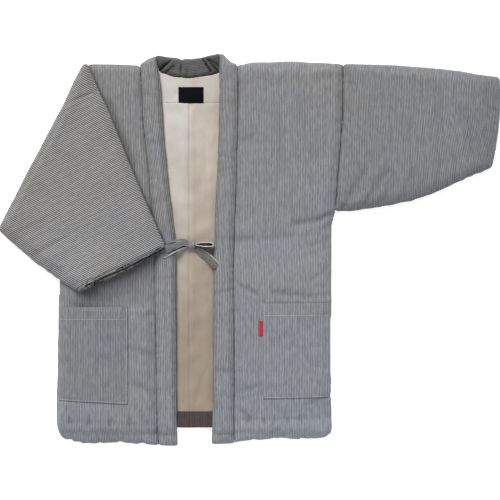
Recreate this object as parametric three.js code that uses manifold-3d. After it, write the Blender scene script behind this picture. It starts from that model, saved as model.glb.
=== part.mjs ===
// A padded hanten laid flat on its back, front up. The wearer's left sleeve (+X) lies open, the
// right sleeve and the corner of its shoulder are folded over the front. Millimetres, +Z up,
// +Y towards the neck. Each cloth piece is a closed solid of its own, mostly a wadded layer.
import * as THREE from 'three';
import Module from 'manifold-3d';
import { mergeVertices } from 'three/addons/utils/BufferGeometryUtils.js';

// Driving dimensions
const SEAM_GAP = 0.6;
const LAYER = 10.1; // one wadded layer of the body
const LAID_GAP = 0.4; // between cloth and the cloth that it lies on
const LINING_LOW = LAYER + LAID_GAP;
const LINING_HIGH = LINING_LOW + 1;
const FRONT_LOW = LAYER + LAID_GAP;
const FRONT_HIGH = 22;
const COLLAR_LOW = LINING_HIGH + LAID_GAP;
const COLLAR_HIGH = 25.5;
const NECK_HIGH = 17;
const BODY_CROWN = 3; // how far the wadding swells between the seams
const BACK_HEM = -392;
const HEM_SINK = 9; // how far the fronts drop past the back's hem
const FOLD_LOW = 23.3; // underside of the folded sleeve, over the front
const INNER_CREST = 44;
const INNER_RIM = 33;
const SLEEVE_CREST = 22;
const SLEEVE_RIM = 10.5;
const SLEEVE_CROWN = 3;
const POCKET_THICK = 2;
const POCKET_LIFT = 0.5;
const YOKE_SEAM = 322.5;
const CENTRE_SEAM = -134;
const FACING_SEAM = -356;
const COLLAR_CENTRE = -151;
const EDGE_STEPS = [0, 1.5, 5, 11]; // grid lines beside an edge, so that it can be round
const HEM_SHARES = [0, 0.04, 0.13, 0.3, 0.6];
const ROOM = { side: 1, inner: -120, foot: -450, head: 409, low: -5 }; // the body's, under the fold

// The plan outline, as edges read along the body (y to x) or across it (x to y)
const RIGHT_SIDE = [
  { y: -402, x: -421 }, { y: -385, x: -424 }, { y: -330, x: -424 }, { y: -220, x: -422 },
  { y: -110, x: -420 }, { y: -70, x: -418 }, { y: -30, x: -413 }, { y: 290, x: -411 },
  { y: 407, x: -354 },
];
const LEFT_SIDE = [
  { y: -400, x: 178 }, { y: -387, x: 180 }, { y: -330, x: 177 }, { y: -286, x: 178 },
  { y: -198, x: 176 }, { y: -110, x: 179 }, { y: 0, x: 178 }, { y: 62, x: 180 }, { y: 81, x: 186 },
  { y: 96, x: 191 }, { y: 129, x: 191 }, { y: 182, x: 195 }, { y: 234, x: 200 },
  { y: 304, x: 204 }, { y: 407, x: 205 },
];
const COLLAR_SEAM_RIGHT = [
  { y: -431, x: -200 }, { y: -330, x: -204 }, { y: -220, x: -205 }, { y: -110, x: -207 },
  { y: -22, x: -208 }, { y: 22, x: -210 }, { y: 110, x: -217 }, { y: 177, x: -221 },
  { y: 234, x: -229 }, { y: 298, x: -235 }, { y: 362, x: -237 }, { y: 404, x: -241 },
  { y: 426, x: -236 },
];
const COLLAR_EDGE_RIGHT = [
  { y: -431, x: -160 }, { y: -330, x: -161 }, { y: -22, x: -162 }, { y: 11, x: -163 },
  { y: 66, x: -169 }, { y: 121, x: -176 }, { y: 187, x: -183 }, { y: 249, x: -189 },
  { y: 328, x: -193 }, { y: 363, x: -197 }, { y: 396, x: -201 }, { y: 426, x: -208 },
];
const COLLAR_EDGE_LEFT = [
  { y: -427, x: -84 }, { y: -330, x: -81 }, { y: -110, x: -81 }, { y: -22, x: -80 },
  { y: 22, x: -78 }, { y: 66, x: -77 }, { y: 110, x: -75 }, { y: 177, x: -71 }, { y: 253, x: -68 },
  { y: 326, x: -67 }, { y: 389, x: -66 }, { y: 431, x: -67 },
];
const COLLAR_SEAM_LEFT = [
  { y: -427, x: -34 }, { y: -396, x: -35 }, { y: -110, x: -36 }, { y: -22, x: -37 },
  { y: 44, x: -35 }, { y: 110, x: -32 }, { y: 177, x: -30 }, { y: 225, x: -29 }, { y: 298, x: -27 },
  { y: 371, x: -27 }, { y: 404, x: -29 }, { y: 431, x: -38 },
];
const FRONT_HEM = [
  { x: -424, y: -398 }, { x: -418, y: -407 }, { x: -411, y: -415 }, { x: -392, y: -421 },
  { x: -365, y: -426 }, { x: -320, y: -426 }, { x: -286, y: -424 }, { x: -242, y: -427 },
  { x: -202, y: -430 }, { x: -161, y: -431 }, { x: -84, y: -428 }, { x: -35, y: -426 },
  { x: -22, y: -421 }, { x: 22, y: -419 }, { x: 66, y: -415 }, { x: 110, y: -417 },
  { x: 136, y: -414 }, { x: 165, y: -409 }, { x: 176, y: -402 }, { x: 180, y: -396 },
];
const SHOULDER = [
  { x: -354, y: 407 }, { x: -308, y: 407 }, { x: -262, y: 405 }, { x: -241, y: 403 },
  { x: -29, y: 404 }, { x: 0, y: 410 }, { x: 44, y: 411 }, { x: 88, y: 413 }, { x: 132, y: 410 },
  { x: 205, y: 407 },
];
const BACK_HEAD = [
  { x: -354, y: 407 }, { x: -308, y: 407 }, { x: -262, y: 405 }, { x: -241, y: 403 },
  { x: -205, y: 393 }, { x: -187, y: 386 }, { x: -172, y: 381 }, { x: -150, y: 378 },
  { x: -137, y: 376 }, { x: -110, y: 380 }, { x: -84, y: 384 }, { x: -66, y: 389 },
  { x: -29, y: 403 }, { x: 0, y: 410 }, { x: 44, y: 411 }, { x: 88, y: 413 }, { x: 132, y: 410 },
  { x: 205, y: 407 },
];
const COLLAR_HEAD = [
  { x: -241, y: 404 }, { x: -233, y: 411 }, { x: -224, y: 418 }, { x: -208, y: 425 },
  { x: -202, y: 426 }, { x: -176, y: 422 }, { x: -155, y: 420 }, { x: -150, y: 416 },
  { x: -143, y: 419 }, { x: -132, y: 418 }, { x: -110, y: 421 }, { x: -88, y: 426 },
  { x: -69, y: 430 }, { x: -61, y: 431 }, { x: -53, y: 423 }, { x: -42, y: 410 },
  { x: -29, y: 405 },
];

// Creases: soft troughs, each along a line, with its depth and half width
const BODY_CREASES = [
  { x0: 182, y0: 74, x1: 100, y1: 54, depth: 3.5, width: 9 },
  { x0: -34, y0: 22, x1: 101, y1: 29, depth: 2.2, width: 8 },
  { x0: 33, y0: -74, x1: 176, y1: -84, depth: 2.2, width: 9 },
  { x0: -22, y0: -77, x1: 26, y1: -104, depth: 2, width: 7 },
  { x0: 172, y0: 330, x1: 160, y1: 180, depth: 1.8, width: 12 },
  { x0: -415, y0: -104, x1: -300, y1: -96, depth: 2, width: 10 },
  { x0: -290, y0: -395, x1: -296, y1: -430, depth: 2.4, width: 9 },
  { x0: -365, y0: -395, x1: -358, y1: -430, depth: 2, width: 8 },
  { x0: 66, y0: -385, x1: 66, y1: -418, depth: 2.4, width: 9 },
  { x0: 136, y0: -385, x1: 138, y1: -416, depth: 2.2, width: 8 },
  { x0: -206, y0: 55, x1: -197, y1: 0, depth: 4.2, width: 20 },
  { x0: -80, y0: 208, x1: -34, y1: 196, depth: 2, width: 6 },
  { x0: -80, y0: -98, x1: -38, y1: -90, depth: 2, width: 6 },
  { x0: -82, y0: -262, x1: -38, y1: -268, depth: 1.8, width: 6 },
];
const SLEEVE_CREASES = [
  { x0: 204, y0: 96, x1: 268, y1: 196, depth: 3.5, width: 9 },
  { x0: 236, y0: 92, x1: 292, y1: 160, depth: 3, width: 8 },
  { x0: 292, y0: 100, x1: 330, y1: 166, depth: 2.6, width: 8 },
  { x0: 352, y0: 114, x1: 372, y1: 176, depth: 2.4, width: 8 },
  { x0: 418, y0: 138, x1: 424, y1: 196, depth: 2.2, width: 8 },
  { x0: 300, y0: 402, x1: 322, y1: 316, depth: 1.6, width: 12 },
  { x0: 520, y0: 190, x1: 500, y1: 350, depth: 1.6, width: 10 },
];
const FOLDED_CREASES = [
  { x0: -508, y0: 22, x1: -430, y1: 60, depth: 3.2, width: 9 },
  { x0: -470, y0: -18, x1: -396, y1: 22, depth: 2.6, width: 8 },
  { x0: -424, y0: -54, x1: -372, y1: -14, depth: 2.6, width: 8 },
  { x0: -340, y0: 352, x1: -400, y1: 250, depth: 1.8, width: 14 },
  { x0: -300, y0: 240, x1: -420, y1: 170, depth: 1.8, width: 12 },
];
const NECK_GATHERS = [
  { x0: -176, y0: 424, x1: -198, y1: 392, depth: 4, width: 4 },
  { x0: -150, y0: 424, x1: -150, y1: 388, depth: 3, width: 3.5 },
  { x0: -132, y0: 400, x1: -138, y1: 376, depth: 2, width: 5 },
  { x0: -106, y0: 424, x1: -86, y1: 388, depth: 4, width: 4 },
  { x0: -70, y0: 428, x1: -67, y1: 388, depth: 3, width: 5 },
];

// The open sleeve, one section a row from the armhole to the cuff: lower and upper end, how much
// of the armhole's curve it follows, and how far it bulges towards the hand
const SLEEVE_SECTIONS = [
  { lx: 191, ly: 84, ux: 205, uy: 407, bow: 1, bulge: 0 },
  { lx: 222, ly: 85, ux: 236, uy: 407, bow: 0.6, bulge: 0 },
  { lx: 264, ly: 90, ux: 278, uy: 406, bow: 0.2, bulge: 1 },
  { lx: 308, ly: 98, ux: 322, uy: 404, bow: 0, bulge: 2 },
  { lx: 352, ly: 107, ux: 368, uy: 401, bow: 0, bulge: 4 },
  { lx: 396, ly: 121, ux: 412, uy: 397, bow: 0, bulge: 6 },
  { lx: 440, ly: 141, ux: 456, uy: 392, bow: 0, bulge: 8 },
  { lx: 484, ly: 162, ux: 500, uy: 385, bow: 0, bulge: 10 },
  { lx: 528, ly: 179, ux: 546, uy: 378, bow: 0, bulge: 10 },
];
const SLEEVE_SLIT = { low: 9.9, high: 11.1, margin: 16, past: 6 };
const SLEEVE_LENGTH = 340; // armhole to cuff, along the sleeve's middle
const SLEEVE_WIDTH = 310; // across the flat sleeve

// The folded sleeve, one section a row from the cuff to the shoulder's tip: its ends on the
// outer edge and on the inner one (the sleeve's top fold), then the outer edge's own heights
const FOLD_SECTIONS = [
  { ox: -374, oy: -95, ix: -187, iy: 11, low: 22, rim: 33, crest: 45 },
  { ox: -429, oy: -57, ix: -211, iy: 66, low: 14, rim: 28, crest: 45 },
  { ox: -477, oy: -22, ix: -233, iy: 117, low: 2, rim: 17, crest: 44 },
  { ox: -517, oy: 13, ix: -252, iy: 163, low: 0, rim: 15, crest: 44 },
  { ox: -536, oy: 29, ix: -259, iy: 179, low: 0, rim: 15, crest: 44 },
  { ox: -548, oy: 41, ix: -266, iy: 194, low: 0, rim: 16, crest: 44 },
  { ox: -546, oy: 51, ix: -271, iy: 207, low: 0, rim: 18, crest: 44 },
  { ox: -517, oy: 106, ix: -284, iy: 242, low: 0, rim: 20, crest: 44 },
  { ox: -480, oy: 180, ix: -299, iy: 279, low: 0, rim: 20, crest: 44 },
  { ox: -442, oy: 251, ix: -315, iy: 315, low: 0, rim: 20, crest: 43 },
  { ox: -410, oy: 312, ix: -329, iy: 344, low: 0, rim: 20, crest: 42 },
  { ox: -385, oy: 365, ix: -343, iy: 378, low: 0, rim: 20, crest: 41 },
  { ox: -363, oy: 406, ix: -356, iy: 405, low: 0, rim: 19, crest: 38 },
];
const ARMHOLE_SECTION = 10;
const CUFF_LEDGE = 6; // how far the lower layer shows past the upper at the cuff
const CUFF_SLIT = { low: 32.7, high: 34.3, depth: 26, margin: 14 };

// Pockets: share of the front's width at the inner edge, then foot and mouth at both edges
const POCKET_RIGHT = {
  inner: 0.71, sideX: -418, innerX: -267, footSide: -330, footInner: -338, mouthSide: -127,
  mouthInner: -125,
};
const POCKET_LEFT = {
  inner: 0.31, sideX: 178, innerX: 29, footSide: -323, footInner: -326, mouthSide: -117,
  mouthInner: -118,
};
const POCKET_TAB = { x: 24.2, y: -172.5, width: 9, length: 33, thick: 1 };
const NECK_LABEL = { x: -129.5, y: 341, width: 55, length: 35, thick: 1 };

// Ties: flat tapes, routes from the knot outwards. `heading` and `tilt` turn the tape's width:
// heading in plan, tilt up from flat (90 stands it on its edge)
const TIE_THICK = 1.6;
const KNOT = { x: -127.6, y: 9.9, z: 19, wide: 8.7, high: 7 };
const TIES = {
  tie_lead_right: [
    { x: -137.5, y: 14, z: 21.5, heading: 70, tilt: 0, width: 5 },
    { x: -146, y: 17.5, z: 22, heading: 80, tilt: 0, width: 8 },
    { x: -157, y: 18.5, z: 24.4, heading: 90, tilt: 0, width: 9 },
    { x: -168, y: 18.5, z: 27, heading: 94, tilt: 0, width: 9 },
    { x: -181, y: 17, z: 27, heading: 96, tilt: 0, width: 9 },
  ],
  tie_end_right: [
    { x: -137.8, y: 9, z: 19.5, heading: 110, tilt: 0, width: 5 },
    { x: -146, y: 6.5, z: 20.8, heading: 114, tilt: 0, width: 8 },
    { x: -157, y: 1, z: 24.6, heading: 116, tilt: 0, width: 12 },
    { x: -168, y: -4.5, z: 27, heading: 116, tilt: 0, width: 13 },
    { x: -183, y: -11, z: 27, heading: 114, tilt: 0, width: 13 },
  ],
  tie_loop_right: [
    { x: -133, y: 11.5, z: 26.2, heading: 92, tilt: 0, width: 5 },
    { x: -143, y: 12, z: 28.6, heading: 96, tilt: 0, width: 9 },
    { x: -154, y: 10.5, z: 30.6, heading: 102, tilt: 0, width: 12 },
    { x: -165, y: 7.5, z: 32.4, heading: 108, tilt: 0, width: 14 },
    { x: -176, y: 2.5, z: 32.8, heading: 114, tilt: 0, width: 14 },
    { x: -184, y: -2, z: 32.4, heading: 118, tilt: 0, width: 14 },
    { x: -186, y: -3.2, z: 31, heading: 118, tilt: 0, width: 14 },
    { x: -184, y: -2.2, z: 29.6, heading: 118, tilt: 0, width: 14 },
    { x: -174, y: 2, z: 29.4, heading: 112, tilt: 0, width: 13 },
    { x: -160, y: 6.5, z: 27.6, heading: 106, tilt: 0, width: 11 },
    { x: -147, y: 10, z: 25.2, heading: 100, tilt: 0, width: 8 },
    { x: -136, y: 11, z: 23.5, heading: 96, tilt: 0, width: 5 },
  ],
  tie_loop_left: [
    { x: -119.2, y: 14, z: 22, heading: 90, tilt: 90, width: 8 },
    { x: -106, y: 16.2, z: 23.2, heading: 90, tilt: 90, width: 13 },
    { x: -94, y: 15.8, z: 23.6, heading: 90, tilt: 90, width: 14 },
    { x: -84.5, y: 14.4, z: 23.6, heading: 90, tilt: 90, width: 14 },
    { x: -80.6, y: 11.8, z: 23.6, heading: 90, tilt: 90, width: 14 },
    { x: -84.5, y: 9, z: 23.6, heading: 90, tilt: 90, width: 14 },
    { x: -94, y: 7.9, z: 23.6, heading: 90, tilt: 90, width: 14 },
    { x: -106, y: 9, z: 23.2, heading: 90, tilt: 90, width: 13 },
    { x: -118.2, y: 10.8, z: 22, heading: 90, tilt: 90, width: 8 },
  ],
  tie_lead_left: [
    { x: -119.6, y: 6, z: 14.4, heading: 80, tilt: 0, width: 6 },
    { x: -110, y: 3.4, z: 13.2, heading: 84, tilt: 0, width: 11 },
    { x: -96, y: 2, z: 13, heading: 88, tilt: 0, width: 13 },
    { x: -80.2, y: 1, z: 13.4, heading: 90, tilt: 0, width: 13 },
  ],
  tie_end_left: [
    { x: -120, y: 4, z: 18.6, heading: 50, tilt: 0, width: 6 },
    { x: -112, y: -1, z: 17.5, heading: 54, tilt: 0, width: 10 },
    { x: -104, y: -6.5, z: 17, heading: 52, tilt: 0, width: 13.5 },
    { x: -95, y: -13.5, z: 17.6, heading: 48, tilt: 0, width: 14 },
    { x: -87, y: -21, z: 21.5, heading: 46, tilt: 0, width: 14 },
    { x: -80, y: -28, z: 26.4, heading: 44, tilt: 0, width: 14 },
    { x: -72.5, y: -35.5, z: 27.4, heading: 44, tilt: 0, width: 13 },
    { x: -69.5, y: -38.5, z: 27.4, heading: 44, tilt: 0, width: 7 },
  ],
};

// Cloth colours
const STRIPED = { color: 0x888a8e, roughness: 0.95, metalness: 0 };
const CREAM = { color: 0xcfc6b8, roughness: 0.9, metalness: 0 };
const DARK_STRIPED = { color: 0x51483f, roughness: 0.9, metalness: 0 };
const BLACK = { color: 0x0e0e12, roughness: 0.7, metalness: 0 };
const RED = { color: 0xa5303c, roughness: 0.8, metalness: 0 };

const { lerp, clamp, smoothstep, degToRad } = THREE.MathUtils;
const wasm = await Module();
wasm.setup();

// Reads a table: the value of one column at a place along another
function reader(table, along, value) {
  return (at) => {
    let k = 1;
    while (k < table.length - 1 && table[k][along] < at) k += 1;
    const a = table[k - 1];
    const b = table[k];
    const share = clamp((at - a[along]) / (b[along] - a[along]), 0, 1);
    return lerp(a[value], b[value], share);
  };
}

const rightSide = reader(RIGHT_SIDE, 'y', 'x');
const leftSide = reader(LEFT_SIDE, 'y', 'x');
const collarSeamRight = reader(COLLAR_SEAM_RIGHT, 'y', 'x');
const collarEdgeRight = reader(COLLAR_EDGE_RIGHT, 'y', 'x');
const collarEdgeLeft = reader(COLLAR_EDGE_LEFT, 'y', 'x');
const collarSeamLeft = reader(COLLAR_SEAM_LEFT, 'y', 'x');
const frontHem = reader(FRONT_HEM, 'x', 'y');
const shoulder = reader(SHOULDER, 'x', 'y');
const backHead = reader(BACK_HEAD, 'x', 'y');
const collarHead = reader(COLLAR_HEAD, 'x', 'y');

const level = (value) => () => value;
const offset = (curve, by) => (at) => curve(at) + by;
const between = (from, to, share) => (at) => lerp(from(at), to(at), share);
const evenly = (count) => Array.from({ length: count + 1 }, (_, k) => k / count);

// How deep the creases of a table are at a place
function creaseDepth(creases, x, y) {
  let depth = 0;
  for (const c of creases) {
    const dx = c.x1 - c.x0;
    const dy = c.y1 - c.y0;
    const t = clamp(((x - c.x0) * dx + (y - c.y0) * dy) / (dx * dx + dy * dy), 0, 1);
    const away = Math.hypot(x - c.x0 - t * dx, y - c.y0 - t * dy) / c.width;
    depth += c.depth * Math.exp(-away * away);
  }
  return depth;
}

// A quarter-round edge: 0 at the edge, 1 from `radius` inwards
function roundEdge(distance, radius) {
  const short = 1 - clamp(distance / radius, 0, 1);
  return Math.sqrt(1 - short * short);
}

// Shares of a width: close together beside both ends, then even
function edgedShares(count, width) {
  const squeeze = Math.min(1, width / (4 * EDGE_STEPS.at(-1)));
  const steps = EDGE_STEPS.map((step) => (step * squeeze) / width);
  const inner = evenly(count).slice(1, -1).map((k) => lerp(steps.at(-1), 1 - steps.at(-1), k));
  return [...steps, ...inner, ...steps.map((step) => 1 - step).reverse()];
}

// Row curves from one curve to another, without the two ends
function rowsBetween(from, to, count) {
  return evenly(count).slice(1, -1).map((share) => between(from, to, share));
}

function edgeRows(curve, sign) {
  const rows = EDGE_STEPS.map((step) => offset(curve, sign * step));
  return sign > 0 ? rows : rows.reverse();
}

// A closed layer from a grid of points, rows towards +Y and columns towards +X, each point with
// a place in plan, a low and a high
function layer(grid) {
  const rows = grid.length;
  const columns = grid[0].length;
  const under = rows * columns;
  const positions = [];
  for (const key of ['high', 'low']) {
    for (const p of grid.flat()) positions.push(p.x, p.y, p[key]);
  }
  const index = [];
  const quad = (a, b, c, d) => index.push(a, b, c, a, c, d);
  for (let j = 0; j < rows - 1; j += 1) {
    for (let i = 0; i < columns - 1; i += 1) {
      const a = j * columns + i;
      quad(a, a + 1, a + columns + 1, a + columns);
      quad(under + a, under + a + columns, under + a + columns + 1, under + a + 1);
    }
  }
  for (let i = 0; i < columns - 1; i += 1) {
    const head = (rows - 1) * columns + i;
    quad(i, under + i, under + i + 1, i + 1);
    quad(head + 1, under + head + 1, under + head, head);
  }
  for (let j = 0; j < rows - 1; j += 1) {
    const left = j * columns;
    const right = left + columns - 1;
    quad(left + columns, under + left + columns, under + left, left);
    quad(right, under + right, under + right + columns, right + columns);
  }
  const geometry = new THREE.BufferGeometry();
  geometry.setAttribute('position', new THREE.Float32BufferAttribute(positions, 3));
  geometry.setIndex(index);
  return geometry;
}

// A grid between a left and a right edge (read by y) and row curves (read by x). `columns` gives
// the places across from the two edges. `heights` gives low and high from the place and the
// distances to the four sides.
function patch({ left, right, rows, columns, heights }) {
  const foot = rows[0];
  const head = rows.at(-1);
  const middle = (left(0) + right(0)) / 2;
  const count = columns(left(0), right(0)).length;
  return rows.map((rowAt) => Array.from({ length: count }, (_, k) => {
    let x = middle;
    let y = rowAt(x);
    for (let pass = 0; pass < 4; pass += 1) {
      x = columns(left(y), right(y))[k];
      y = rowAt(x);
    }
    const edges = {
      left: x - left(y), right: right(y) - x, foot: y - foot(x), head: head(x) - y,
    };
    return { x, y, ...heights(x, y, edges) };
  }));
}

const byShares = (shares) => (left, right) => shares.map((share) => lerp(left, right, share));

// The height of a grid's upper face at a place, on its own triangles
function heightOn(grid, x, y) {
  const inside = (a, b, c) => {
    const area = (b.x - a.x) * (c.y - a.y) - (c.x - a.x) * (b.y - a.y);
    const u = ((x - a.x) * (c.y - a.y) - (c.x - a.x) * (y - a.y)) / area;
    const v = ((b.x - a.x) * (y - a.y) - (x - a.x) * (b.y - a.y)) / area;
    if (u < 0 || v < 0 || u + v > 1) return null;
    return a.high + u * (b.high - a.high) + v * (c.high - a.high);
  };
  for (let j = 0; j < grid.length - 1; j += 1) {
    for (let i = 0; i < grid[j].length - 1; i += 1) {
      const [a, b, c, d] = [grid[j][i], grid[j][i + 1], grid[j + 1][i + 1], grid[j + 1][i]];
      const height = inside(a, b, c) ?? inside(a, c, d);
      if (height !== null) return height;
    }
  }
  throw new Error('the place is outside the grid');
}

// Booleans: a geometry as a solid, and a solid as a geometry
function solidOf(geometry) {
  const merged = mergeVertices(geometry);
  return new wasm.Manifold(new wasm.Mesh({
    numProp: 3,
    vertProperties: merged.attributes.position.array,
    triVerts: new Uint32Array(merged.index.array),
  }));
}

function geometryOf(solid) {
  const mesh = solid.getMesh();
  const geometry = new THREE.BufferGeometry();
  geometry.setAttribute('position', new THREE.Float32BufferAttribute(mesh.vertProperties, 3));
  geometry.setIndex(Array.from(mesh.triVerts));
  return geometry;
}

const garment = new THREE.Group();
function piece(name, geometry, finish) {
  const mesh = new THREE.Mesh(geometry, new THREE.MeshStandardMaterial(finish));
  mesh.name = name;
  garment.add(mesh);
}

// Back: flat on the floor, its side, hem and shoulder edges rolling up to the seams
const BACK_LINES = [
  -320, -280, -241, -205, -187, -172, -150, -137, -110, -84, -66, -29, 30, 88, 140,
];
const ARMHOLE_FOOT = 88;
const armholeShare = (y) => smoothstep(y, ARMHOLE_FOOT, ARMHOLE_FOOT + 16);
const backGrid = patch({
  left: rightSide,
  right: leftSide,
  rows: [
    ...edgeRows(level(BACK_HEM), 1),
    ...rowsBetween(level(BACK_HEM + EDGE_STEPS.at(-1)), offset(backHead, -EDGE_STEPS.at(-1)), 9),
    ...edgeRows(backHead, -1),
  ],
  columns: (left, right) => [
    ...EDGE_STEPS.map((step) => left + step),
    ...BACK_LINES,
    ...EDGE_STEPS.map((step) => right - step).reverse(),
  ],
  heights: (x, y, edges) => {
    const rightRadius = lerp(11, 4, armholeShare(y));
    const round = Math.min(
      roundEdge(edges.left, 11), roundEdge(edges.right, rightRadius),
      roundEdge(edges.foot, 8), roundEdge(edges.head, 9));
    return { low: (LAYER - 1.2) * (1 - round), high: LAYER };
  },
});
piece('back', layer(backGrid), STRIPED);

// Lining: the back's inside, where it shows between the collars
function liningPiece(name, left, right, rows, count, finish) {
  const grid = patch({
    left, right, rows, columns: byShares(evenly(count)),
    heights: () => ({ low: LINING_LOW, high: LINING_HIGH }),
  });
  piece(name, layer(grid), finish);
}
const liningRight = offset(collarSeamRight, 3);
const liningLeft = offset(collarSeamLeft, -3);
const liningHead = offset(backHead, -2 * SEAM_GAP);
const yokeRows = [level(YOKE_SEAM), ...rowsBetween(level(YOKE_SEAM), liningHead, 3), liningHead];
const lowerRows = evenly(7).map((k) => level(lerp(FACING_SEAM, YOKE_SEAM - SEAM_GAP, k)));
liningPiece('lining_yoke', liningRight, liningLeft, yokeRows, 12, CREAM);
liningPiece('lining_right', liningRight, level(CENTRE_SEAM - SEAM_GAP / 2), lowerRows, 3, CREAM);
liningPiece('lining_left', level(CENTRE_SEAM + SEAM_GAP / 2), liningLeft, lowerRows, 3, CREAM);
liningPiece('hem_facing', liningRight, liningLeft,
  [level(BACK_HEM + 1), level(FACING_SEAM - SEAM_GAP)], 3, DARK_STRIPED);

// Fronts. Past the back's hem what lies on the back comes down to the floor.
const sinkPastHem = (y) => 1 - smoothstep(y, BACK_HEM - 14, BACK_HEM - 0.6);

// The rows of what runs from the front hem to the shoulder: a line on the back's hem, lines on
// the pocket's foot and mouth
function bodyRows(headRows, pocketFoot, pocketMouth) {
  const hemLine = level(BACK_HEM - 0.6);
  const aboveHem = level(BACK_HEM + 14);
  return [
    ...HEM_SHARES.map((share) => between(frontHem, hemLine, share)),
    hemLine,
    aboveHem,
    ...rowsBetween(aboveHem, pocketFoot, 2),
    pocketFoot,
    ...rowsBetween(pocketFoot, pocketMouth, 6),
    pocketMouth,
    ...rowsBetween(pocketMouth, headRows[0], 15),
    ...headRows,
  ];
}

// A front's side edge rolls down to the seam with the back, its collar seam is a groove
function frontHeights(x, y, edges, side, seam, sideRadius, crown) {
  const groove = 0.72 + 0.28 * roundEdge(seam, 7);
  const hem = roundEdge(edges.foot, 11);
  const sink = sinkPastHem(y);
  const rim = lerp(FRONT_LOW + 1, 5.5, sink);
  const flat = FRONT_HIGH + crown - creaseDepth(BODY_CREASES, x, y) - HEM_SINK * sink;
  const round = Math.min(roundEdge(side, sideRadius), hem, roundEdge(edges.head, 10));
  return {
    low: lerp(FRONT_LOW, lerp(rim - 0.8, 0, hem), sink),
    high: rim + (flat - rim) * round * groove,
  };
}

const pocketLine = (pocket, side, inner) => (x) =>
  lerp(pocket[side], pocket[inner], (x - pocket.sideX) / (pocket.innerX - pocket.sideX));

// A front with its pocket: the pocket is made from the front's points, moved out
function front({ left, right, seamSide, width, pocket, crownAt, radiusAt }) {
  const shares = edgedShares(9, width);
  const innerColumn = shares.findIndex((share) => share > pocket.inner - 0.04);
  shares[innerColumn] = pocket.inner;
  const foot = pocketLine(pocket, 'footSide', 'footInner');
  const mouth = pocketLine(pocket, 'mouthSide', 'mouthInner');
  const rows = bodyRows(edgeRows(shoulder, -1), foot, mouth);
  const grid = patch({
    left, right, rows, columns: byShares(shares),
    heights: (x, y, edges) => {
      const seam = edges[seamSide];
      const side = edges[seamSide === 'left' ? 'right' : 'left'];
      const swell = Math.sin((Math.PI * side) / (side + seam));
      return frontHeights(x, y, edges, side, seam, radiusAt(y), BODY_CROWN * swell * crownAt(y));
    },
  });
  const [from, to] = seamSide === 'right' ? [1, innerColumn] : [innerColumn, shares.length - 2];
  const pocketGrid = grid.slice(rows.indexOf(foot), rows.indexOf(mouth) + 1)
    .map((row) => row.slice(from, to + 1).map((p) => ({
      x: p.x, y: p.y, low: p.high + POCKET_LIFT, high: p.high + POCKET_LIFT + POCKET_THICK,
    })));
  return { grid, pocketGrid };
}

const FRONT_WIDTH = 214;
const rightFront = front({
  left: rightSide,
  right: offset(collarSeamRight, -SEAM_GAP / 2),
  seamSide: 'right',
  width: FRONT_WIDTH,
  pocket: POCKET_RIGHT,
  crownAt: (y) => 1 - smoothstep(y, -120, -60), // the folded sleeve presses the rest flat
  radiusAt: level(12),
});
const leftFront = front({
  left: offset(collarSeamLeft, SEAM_GAP / 2),
  right: leftSide,
  seamSide: 'left',
  width: FRONT_WIDTH,
  pocket: POCKET_LEFT,
  crownAt: level(1),
  radiusAt: (y) => lerp(12, 4, armholeShare(y)),
});
piece('front_right', layer(rightFront.grid), STRIPED);
piece('front_left', layer(leftFront.grid), STRIPED);
piece('pocket_right', layer(rightFront.pocketGrid), STRIPED);
piece('pocket_left', layer(leftFront.pocketGrid), STRIPED);

// Tab and label: small rectangles on what they are sewn to
function smallRectangle({ x, y, width, length, thick }, surface) {
  return layer(evenly(3).map((v) => evenly(2).map((u) => {
    const px = x + width * (u - 0.5);
    const py = y + length * (v - 0.5);
    const low = surface(px, py) + 0.6;
    return { x: px, y: py, low, high: low + thick };
  })));
}
piece('pocket_tab', smallRectangle(POCKET_TAB, (x, y) => heightOn(leftFront.grid, x, y)), RED);
piece('neck_label', smallRectangle(NECK_LABEL, level(LINING_HIGH - 0.2)), BLACK);

// Collar, front stretches: a doubled band, round at its inner edge, that comes down to the floor
// past the shoulder
const SHOULDER_LINE = 404.5;
const collarShoulder = (x) => Math.min(SHOULDER_LINE, collarHead(x) - 1.2);
const collarRows = bodyRows(
  [collarShoulder, ...[0.3, 0.62, 0.86, 1].map((k) => between(collarShoulder, collarHead, k))],
  level(-336), level(-126));

function collarHeights(x, y, edges, inner, seam) {
  const round = Math.min(roundEdge(inner, 9), roundEdge(edges.foot, 11), roundEdge(edges.head, 9));
  const groove = 0.62 + 0.38 * roundEdge(seam, 8);
  const sinkHem = sinkPastHem(y);
  const sinkHead = smoothstep(y, SHOULDER_LINE, SHOULDER_LINE + 14);
  const sink = Math.max(sinkHem, sinkHead);
  const rim = lerp(COLLAR_LOW + 4, 7, sink);
  const flat = COLLAR_HIGH - creaseDepth(BODY_CREASES, x, y) - HEM_SINK * sinkHem - 4 * sinkHead;
  return {
    low: lerp(rim - 0.8, COLLAR_LOW * (1 - sink), round),
    high: rim + (flat - rim) * round * groove,
  };
}

const collarShares = [0, 0.04, 0.13, 0.28, 0.5, 0.72, 0.87, 0.96, 1];
const collarRight = patch({
  left: offset(collarSeamRight, SEAM_GAP / 2),
  right: collarEdgeRight,
  rows: collarRows,
  columns: byShares(collarShares),
  heights: (x, y, edges) => collarHeights(x, y, edges, edges.right, edges.left),
});
const collarLeft = patch({
  left: collarEdgeLeft,
  right: offset(collarSeamLeft, -SEAM_GAP / 2),
  rows: collarRows,
  columns: byShares(collarShares),
  heights: (x, y, edges) => collarHeights(x, y, edges, edges.left, edges.right),
});
piece('collar_front_right', layer(collarRight), STRIPED);
piece('collar_front_left', layer(collarLeft), STRIPED);

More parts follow.
